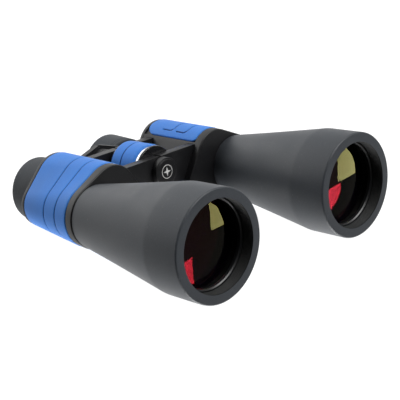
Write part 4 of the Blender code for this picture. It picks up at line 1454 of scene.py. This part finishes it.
@dataclass
class FocusWheel:
    """The blue focus wheel with its groove and its chrome ring."""

    radius: float = 17.6
    crown: float = 1.2
    groove: float = 147.0
    groove_width: float = 1.3
    groove_depth: float = 0.8
    bore: float = 6.8
    chamber: Point = (138.5, 154.0)
    chamber_radius: float = 8.6

    def build(self) -> None:
        """Build the wheel and its ring."""
        front, rear = span("focus_wheel")
        half = self.groove_width / 2
        corners = [(front, self.bore, 0.0), (front, self.radius - self.crown, 0.4),
                   (front + 0.5, self.radius - 0.5, 0.5), (front + 1.6, self.radius, 0.6),
                   (self.groove - half, self.radius, 0.25),
                   (self.groove - half * 0.4, self.radius - self.groove_depth, 0.15),
                   (self.groove + half * 0.4, self.radius - self.groove_depth, 0.15),
                   (self.groove + half, self.radius, 0.25), (rear - 1.6, self.radius, 0.6),
                   (rear - 0.5, self.radius - 0.5, 0.5), (rear, self.radius - self.crown, 0.4),
                   (rear, self.bore, 0.0), (self.chamber[1], self.bore, 0.0),
                   (self.chamber[1], self.chamber_radius, 0.0),
                   (self.chamber[0], self.chamber_radius, 0.0), (self.chamber[0], self.bore, 0.0)]
        wheel = to_object("wheel_tyre", turned(rounded(corners), HINGE_AXIS, FINE),
                          (BLUE_RUBBER, BLUE_GROOVE_PAINTED_SHADE))
        middle = place(0, 0, HINGE_AXIS[1]).z
        # Painted shade: the groove bottom and the tyre's sides and chamber get the darker blue.
        for face in wheel.data.polygons:
            station = face.center.y / MM - FRONT_Y
            off_axis = math.hypot(face.center.x, face.center.z - middle) / MM
            in_shaded_groove = abs(station - self.groove) < half and off_axis < self.radius - 0.35
            if in_shaded_groove or off_axis < self.radius - self.crown - 0.1:
                face.material_index = 1
        settle(wheel, "focus_wheel", "blue_rubber", "focus_wheel")
        low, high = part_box("wheel_ring")
        outer = (high.x - low.x) / 2 / MM
        front, rear = span("wheel_ring")
        corners = [(front, outer - 1.0, 0.0), (front, outer - 0.2, 0.3),
                   (front + 0.9, outer, 0.5), (rear, outer, 0.1), (rear, outer - 1.0, 0.0)]
        ring = to_object("wheel_chrome", turned(rounded(corners), HINGE_AXIS, FINE), (CHROME,))
        settle(ring, "focus_wheel", "chrome", "wheel_ring")


@dataclass
class Bridge:
    """The post behind the focus wheel and the two arms that carry the eyepieces."""

    ring_radius: float = 17.5
    guide_bore: float = 13.0
    post_bore: float = 4.9
    sleeve_radius: float = 8.0
    head_radius: float = 7.5

    def arm_outline(self, knuckle: Knuckle) -> list[Point]:
        """Return an arm's outline round its eyepiece, between the tangents from the hinge."""
        lower = (HINGE_AXIS[0], knuckle.lower)
        upper = (HINGE_AXIS[0], knuckle.upper)
        start = self.tangent(lower, 1) - math.tau
        end = self.tangent(upper, -1)
        return arc(EYEPIECE_AXIS, self.ring_radius, start, end, 40)

    def tangent(self, point: Point, turn: int) -> float:
        """Return the angle on the eyepiece's ring where the tangent from a point touches it."""
        distance = math.dist(EYEPIECE_AXIS, point)
        facing = math.atan2(point[1] - EYEPIECE_AXIS[1], point[0] - EYEPIECE_AXIS[0])
        return facing + turn * math.acos(self.ring_radius / distance)

    def build_arm(self, side: Side) -> None:
        """Build one arm."""
        knuckle = Knuckle(side, span("ocular_arm" + side.suffix), edge=0.6)
        arm = knuckle.build("eyepiece_arm" + side.suffix, BLACK_PLASTIC,
                            self.arm_outline(knuckle), (HINGE_AXIS, self.post_bore),
                            (side.axis(EYEPIECE_AXIS), self.guide_bore))
        settle(arm, side.arm_body, "black_plastic", "ocular_arm" + side.suffix)

    def build_post_fittings(self) -> None:
        """Build the ribbed sleeve round the post and the coin-slotted screw behind it."""
        front, rear = span("bridge_sleeve")
        corners = [(front, self.post_bore, 0.0), (front, self.sleeve_radius, 0.4)]
        for i in range(3):
            middle = front + (rear - front) * (i + 1) / 4
            corners += [(middle - 0.5, self.sleeve_radius, 0.2),
                        (middle, self.sleeve_radius - 0.5, 0.2),
                        (middle + 0.5, self.sleeve_radius, 0.2)]
        corners += [(rear, self.sleeve_radius, 0.4), (rear, self.post_bore, 0.0)]
        sleeve = to_object("post_sleeve", turned(rounded(corners), HINGE_AXIS, ROUND),
                           (BLACK_PLASTIC,))
        settle(sleeve, "left_ocular", "black_plastic", "bridge_sleeve")
        front, rear = span("bridge_end_screw")
        head = rear - 2.0
        corners = [(front, 0.0, 0.0), (front, 2.2, 0.2), (head, 2.2, 0.0),
                   (head, self.head_radius, 0.2), (rear - 0.3, self.head_radius, 0.9),
                   (rear, self.head_radius - 1.6, 0.3), (rear, 2.6, 0.1), (rear - 0.8, 2.2, 0.1),
                   (rear - 0.8, 0.0, 0.0)]
        screw = to_object("post_screw", turned(rounded(corners), HINGE_AXIS, ROUND), (STEEL,))
        settle(screw, "left_ocular", "steel", "bridge_end_screw")

    def build(self) -> None:
        """Build both arms and the fittings on the post."""
        for side in Side:
            self.build_arm(side)
        self.build_post_fittings()


# ---------------------------------------------------------------------------------------------
# Eyepieces
# ---------------------------------------------------------------------------------------------


@dataclass
class Eyepiece:
    """One eyepiece: tube, lenses, ring, rubber cup and, in front of it, its turning ring."""

    side: Side
    tube_radius: float = 12.7
    tube_bore: float = 11.2
    body_front: float = 200.4
    body_rear: float = 216.0
    body_radius: float = 20.0
    body_bore: float = 16.9
    body_floor: float = 203.0
    cup_radius: float = 24.4
    cup_front_radius: float = 23.2
    cup_bore: float = 20.3
    cup_round: float = 1.5
    cup_mouth: float = 16.5
    cup_lip: float = 222.5
    fold_depth: float = 0.35
    lens_radius: float = 16.6
    lens_curve: float = 60.0
    ring_bore: float = 14.5
    grip_radius: float = 21.4
    rib_count: int = 56

    @property
    def turning_ring(self) -> tuple[str, str]:
        """Return the CAD node and the body of the ring in front of this eyepiece."""
        if self.side is Side.LEFT:
            return "eyepiece_collar_l", "left_ocular"
        return "dioptre_ring", "dioptre"

    def build_tube(self) -> None:
        """Build the sliding tube and the body behind it."""
        front = span("eyepiece_tube" + self.side.suffix)[0]
        corners = [(front, self.tube_bore, 0.0), (front, self.tube_radius, 0.3),
                   (self.body_front, self.tube_radius, 0.0),
                   (self.body_front, self.body_radius, 0.3),
                   (self.body_rear, self.body_radius, 0.5), (self.body_rear, self.body_bore, 0.3),
                   (self.body_floor, self.body_bore, 0.0), (self.body_floor, self.tube_bore, 0.0)]
        axis = self.side.axis(EYEPIECE_AXIS)
        tube = to_object("eye_tube" + self.side.suffix, turned(rounded(corners), axis, ROUND),
                         (SATIN_BLACK,))
        settle(tube, self.side.eyepiece_body, "black_plastic", "eyepiece_tube" + self.side.suffix)

    def build_cup(self) -> None:
        """Build the soft eyecup with its folds and rolled lip."""
        rear = span("eyecup" + self.side.suffix)[1]
        front = self.body_front
        base = self.cup_front_radius
        corners = [(front, self.cup_bore, 0.0), (front, base - 0.6, 0.5), (front + 1.0, base, 0.5)]
        for station in (front + 3.2, front + 5.4):
            share = (station - front) / (rear - front)
            radius = base + (self.cup_radius - base) * share
            corners += [(station - 0.6, radius - 0.04, 0.3), (station, radius - self.fold_depth, 0.3),
                        (station + 0.6, radius, 0.3)]
        corners += [(rear, self.cup_radius, self.cup_round), (rear, self.cup_mouth + 0.4, 1.6),
                    (self.cup_lip, self.cup_mouth, 0.8), (self.body_rear + 0.3, self.cup_bore, 0.0)]
        cup = to_object("rubber_eyecup" + self.side.suffix,
                        turned(rounded(corners, 6), self.side.axis(EYEPIECE_AXIS), FINE),
                        (CUP_RUBBER,))
        settle(cup, self.side.eyepiece_body, "grey_rubber", "eyecup" + self.side.suffix)

    def build_lens(self) -> None:
        """Build the eye lens and the ring that holds it."""
        axis = self.side.axis(EYEPIECE_AXIS)
        front, rear = span("eye_lens" + self.side.suffix)
        face = []
        for i in range(11):
            radius = self.lens_radius * i / 10
            drop = self.lens_curve - math.sqrt(self.lens_curve ** 2 - radius ** 2)
            face.append((front + drop, radius))
        back = [(rear - (s - front), r) for s, r in face[::-1]]
        lens = to_object("eye_glass" + self.side.suffix, turned(face + back, axis, ROUND),
                         (EYE_COAT,))
        settle(lens, self.side.eyepiece_body, "clear_glass", "eye_lens" + self.side.suffix)
        front, rear = span("eye_lens_ring" + self.side.suffix)
        corners = [(front, self.ring_bore, 0.0), (front, self.lens_radius, 0.1),
                   (rear, self.lens_radius, 0.2), (rear, self.ring_bore + 1.2, 0.1),
                   (rear - 1.0, self.ring_bore, 0.1)]
        ring = to_object("eye_lens_keeper" + self.side.suffix,
                         turned(rounded(corners), axis, ROUND), (SATIN_BLACK,))
        settle(ring, self.side.eyepiece_body, "black_plastic",
               "eye_lens_ring" + self.side.suffix)

    def build_turning_ring(self) -> None:
        """Build the ring in front of the eyepiece, with its fine grip ribs."""
        node, body = self.turning_ring
        front, rear = span(node)
        axis = self.side.axis(EYEPIECE_AXIS)
        base = self.grip_radius - 0.6
        bore = self.guide_bore(node)
        corners = [(front, bore, 0.0), (front, base, 0.5), (rear, base, 0.5), (rear, bore, 0.0)]
        ring = to_object("grip_ring" + self.side.suffix, turned(rounded(corners), axis, FINE),
                         (BLACK_PLASTIC,))
        bm = bmesh.new()
        bmesh.ops.create_cube(bm, size=MM)
        bmesh.ops.scale(bm, verts=bm.verts, vec=(1.1, rear - front - 1.2, 1.2))
        bmesh.ops.bevel(bm, geom=bm.edges[:], offset=0.3 * MM, segments=2, affect="EDGES")
        bmesh.ops.translate(bm, verts=bm.verts, vec=(0, 0, (self.grip_radius - 0.6) * MM))
        ribs = to_object("grip_ribs" + self.side.suffix, bm, (BLACK_PLASTIC,))
        centre = place(axis[0], (front + rear) / 2, axis[1])
        COPIES.repeat(ribs, self.rib_count, centre, BLACK_PLASTIC,
                      turn=math.tau / self.rib_count)
        join(ring, ribs)
        settle(ring, body, "black_plastic", node)

    def guide_bore(self, node: str) -> float:
        """Return the smallest distance of a ring's mesh from its axis."""
        axis = self.side.axis(EYEPIECE_AXIS)
        centre = place(axis[0], 0, axis[1])
        return min(math.hypot(v.co.x - centre.x, v.co.z - centre.z)
                   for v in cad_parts[node].data.vertices) / MM

    def build(self) -> None:
        """Build every piece of this eyepiece."""
        self.build_tube()
        self.build_cup()
        self.build_lens()
        self.build_turning_ring()


@dataclass(frozen=True)
class InnerParts:
    """The CAD nodes that keep their own meshes, and the finish that each one gets."""

    finishes: tuple[tuple[str, Finish], ...] = (
        ("front_prism_clip", STEEL), ("rear_prism_clip", STEEL), ("front_prism", PRISM_GLASS),
        ("rear_prism", PRISM_GLASS), ("prism_shelf", SATIN_BLACK), ("field_lens", EYE_COAT),
        ("hinge_tube", STEEL), ("hinge_nut", STEEL), ("front_washer", STEEL),
        ("rear_washer", STEEL), ("retaining_clip", STEEL), ("tripod_socket", BRASS),
        ("bridge_post", STEEL), ("focus_key_pin", STEEL))

    def build(self) -> None:
        """Dress every CAD node that nothing replaces."""
        for node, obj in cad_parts.items():
            if obj.hide_render:
                continue
            finish = next((f for start, f in self.finishes if node.startswith(start)), None)
            if finish is None:
                LOG.warning("%s has no finish of its own", node)
                finish = BLACK_PLASTIC
            PALETTE.dress(node, finish)


# ---------------------------------------------------------------------------------------------
# Studio
# ---------------------------------------------------------------------------------------------


@dataclass
class Studio:
    """The pale floor and backdrop, the soft lights and the camera.

    Each lobe is the (x, y, z) of its middle and its strength, and each softbox is (name, azimuth,
    elevation, power). The floor and the dome glow evenly and reach the camera alone.
    """

    camera_at: tuple[float, float, float] = (-504.1, -564.95, 267.35)
    yaw: float = math.radians(-43.194)
    pitch: float = math.radians(17.651)
    roll: float = math.radians(-6.007)
    lens: float = 99.9
    sensor: float = 36.0
    floor_size: float = 6.0
    floor_gap: float = 0.0004
    dome_segments: int = 32
    dome_rings: int = 16
    dome_skirt: float = 0.05
    paper_color: tuple[float, float, float, float] = (0.2, 0.2, 0.2, 1)
    paper_roughness: float = 0.9
    paper_glow: float = 1.0
    light_distance: float = 2.2
    lobes: tuple[tuple[float, float, float, float], ...] = (
        (0, 0, -1, 0.25), (1, 0, 0, 0.6), (0, 1, 0, 1.0))
    softbox_size: float = 1.5
    softboxes: tuple[tuple[str, float, float, float], ...] = (
        ("below_softbox", 0, -90, 70), ("front_high_softbox", 290, 50, 40),
        ("rear_near_softbox", 135, 35, 8), ("rear_high_softbox", 90, 40, 8))
    window_corner: tuple[float, float, float] = (0.672, -0.69, -0.265)
    window_size: Point = (7.0, 7.0)
    window_distance: float = 12.0
    windows: tuple[tuple[str, tuple[float, float, float], float], ...] = (
        ("crown", (0.8, 0.76, 0.36), 4400.0), ("flint", (1.0, 0.1, 0.17), 8000.0))

    def camera(self) -> None:
        """Create the camera and make it the scene's own."""
        data = bpy.data.cameras.new("studio_camera")
        data.lens = self.lens
        data.sensor_width = self.sensor
        obj = bpy.data.objects.new("studio_camera", data)
        bpy.context.scene.collection.objects.link(obj)
        back = Vector((math.sin(self.yaw) * math.cos(self.pitch),
                       -math.cos(self.yaw) * math.cos(self.pitch), math.sin(self.pitch)))
        right = Vector((math.cos(self.yaw), math.sin(self.yaw), 0))
        up = back.cross(right)
        turned_right = right * math.cos(self.roll) + up * math.sin(self.roll)
        turned_up = up * math.cos(self.roll) - right * math.sin(self.roll)
        axes = Matrix((turned_right, turned_up, back)).transposed().to_4x4()
        axes.translation = Vector(self.camera_at) * MM
        obj.matrix_world = axes
        bpy.context.scene.camera = obj

    def backdrop(self) -> None:
        """Create the pale floor and the white dome over it, which only the camera sees."""
        bm = bmesh.new()
        bmesh.ops.create_grid(bm, x_segments=1, y_segments=1, size=self.floor_size)
        dome = bmesh.ops.create_uvsphere(bm, u_segments=self.dome_segments,
                                         v_segments=self.dome_rings, radius=self.floor_size)
        low = [vert for vert in dome["verts"] if vert.co.z < -self.floor_size * self.dome_skirt]
        bmesh.ops.delete(bm, geom=low, context="VERTS")
        mesh = bpy.data.meshes.new("studio_floor")
        bm.to_mesh(mesh)
        bm.free()
        material = bpy.data.materials.new("studio_paper")
        material.use_nodes = True
        shader = material.node_tree.nodes["Principled BSDF"]
        shader.inputs["Base Color"].default_value = self.paper_color
        shader.inputs["Roughness"].default_value = self.paper_roughness
        shader.inputs["Specular IOR Level"].default_value = 0.0
        shader.inputs["Emission Color"].default_value = (1, 1, 1, 1)
        shader.inputs["Emission Strength"].default_value = self.paper_glow
        mesh.materials.append(material)
        obj = bpy.data.objects.new("studio_floor", mesh)
        obj.location.z = -self.floor_gap
        for ray in ("diffuse", "glossy", "transmission", "shadow"):
            setattr(obj, f"visible_{ray}", False)
        bpy.context.scene.collection.objects.link(obj)

    def surroundings(self) -> None:
        """Create the soft light from all round, as a few broad lobes added together."""
        world = bpy.data.worlds.new("studio_ambience")
        world.use_nodes = True
        tree = world.node_tree
        direction = tree.nodes.new("ShaderNodeTexCoord").outputs["Generated"]
        total = None
        for x, y, z, strength in self.lobes:
            facing = tree.nodes.new("ShaderNodeVectorMath")
            facing.operation = "DOT_PRODUCT"
            facing.inputs[1].default_value = (x, y, z)
            tree.links.new(direction, facing.inputs[0])
            lobe = tree.nodes.new("ShaderNodeMapRange")
            lobe.inputs["To Max"].default_value = strength
            tree.links.new(facing.outputs["Value"], lobe.inputs["Value"])
            if total is None:
                total = lobe.outputs["Result"]
                continue
            added = tree.nodes.new("ShaderNodeMath")
            added.operation = "ADD"
            tree.links.new(total, added.inputs[0])
            tree.links.new(lobe.outputs["Result"], added.inputs[1])
            total = added.outputs["Value"]
        tree.links.new(total, tree.nodes["Background"].inputs["Strength"])
        tree.nodes["Background"].inputs["Color"].default_value = (1, 1, 1, 1)
        bpy.context.scene.world = world
        bpy.context.scene.view_settings.view_transform = "Standard"

    def softbox(self, name: str, azimuth: float, elevation: float, size: float,
                power: float) -> bpy.types.Object:
        """Create one square soft light that faces the object.

        Args:
            name: Its name.
            azimuth: Its direction from the object in degrees, from +X towards +Y.
            elevation: Its height above the horizon in degrees.
            size: The length of its sides, in metres.
            power: Its power in watts.

        Returns:
            The light.
        """
        data = bpy.data.lights.new(name, "AREA")
        data.shape = "SQUARE"
        data.size = size
        data.energy = power
        obj = bpy.data.objects.new(name, data)
        bpy.context.scene.collection.objects.link(obj)
        turn, rise = math.radians(azimuth), math.radians(elevation)
        away = Vector((math.cos(rise) * math.cos(turn), math.cos(rise) * math.sin(turn),
                       math.sin(rise)))
        obj.matrix_world = away.to_track_quat("Z", "Y").to_matrix().to_4x4()
        obj.location = away * self.light_distance
        obj.visible_camera = False
        return obj

    def lens_window(self, piece: str, color: tuple[float, float, float], power: float) -> None:
        """Create a coloured low window light that reaches one kind of lens only.

        Its lower edge and its left edge meet in the corner that the lens faces show.

        Args:
            piece: The start of the lenses' names.
            color: The light's colour.
            power: Its power in watts.
        """
        corner = Vector(self.window_corner).normalized()
        across = Vector((0, 0, 1)).cross(corner).normalized()
        lift = corner.cross(across)
        width, height = self.window_size
        light = self.softbox(piece + "_window", 0, 0, width, power)
        light.data.color = color
        axes = Matrix((lift.cross(corner), lift, corner)).transposed().to_4x4()
        axes.translation = (corner * self.window_distance + across * width / 2
                            + lift * height / 2)
        light.matrix_world = axes
        lenses = bpy.data.collections.new(piece + "_faces")
        for side in Side:
            lenses.objects.link(bpy.data.objects[piece + side.suffix])
        light.light_linking.receiver_collection = lenses

    def build(self) -> None:
        """Create the whole studio."""
        self.camera()
        self.backdrop()
        self.surroundings()
        for name, azimuth, elevation, power in self.softboxes:
            self.softbox(name, azimuth, elevation, self.softbox_size, power)
        for window in self.windows:
            self.lens_window(*window)


def main() -> None:
    """Build every sub-assembly in order, then the studio, and note the sizes."""
    for side in Side:
        ObjectiveBarrel(side).build()
        Doublet(side).build()
        PrismHousing(side).build()
        Armour(side).build()
        RearCover(side).build()
        Eyepiece(side).build()
    Hinge().build()
    FocusWheel().build()
    Bridge().build()
    InnerParts().build()
    Studio().build()


if __name__ == "__main__":
    logging.basicConfig(level=logging.INFO, format="%(message)s")
    main()
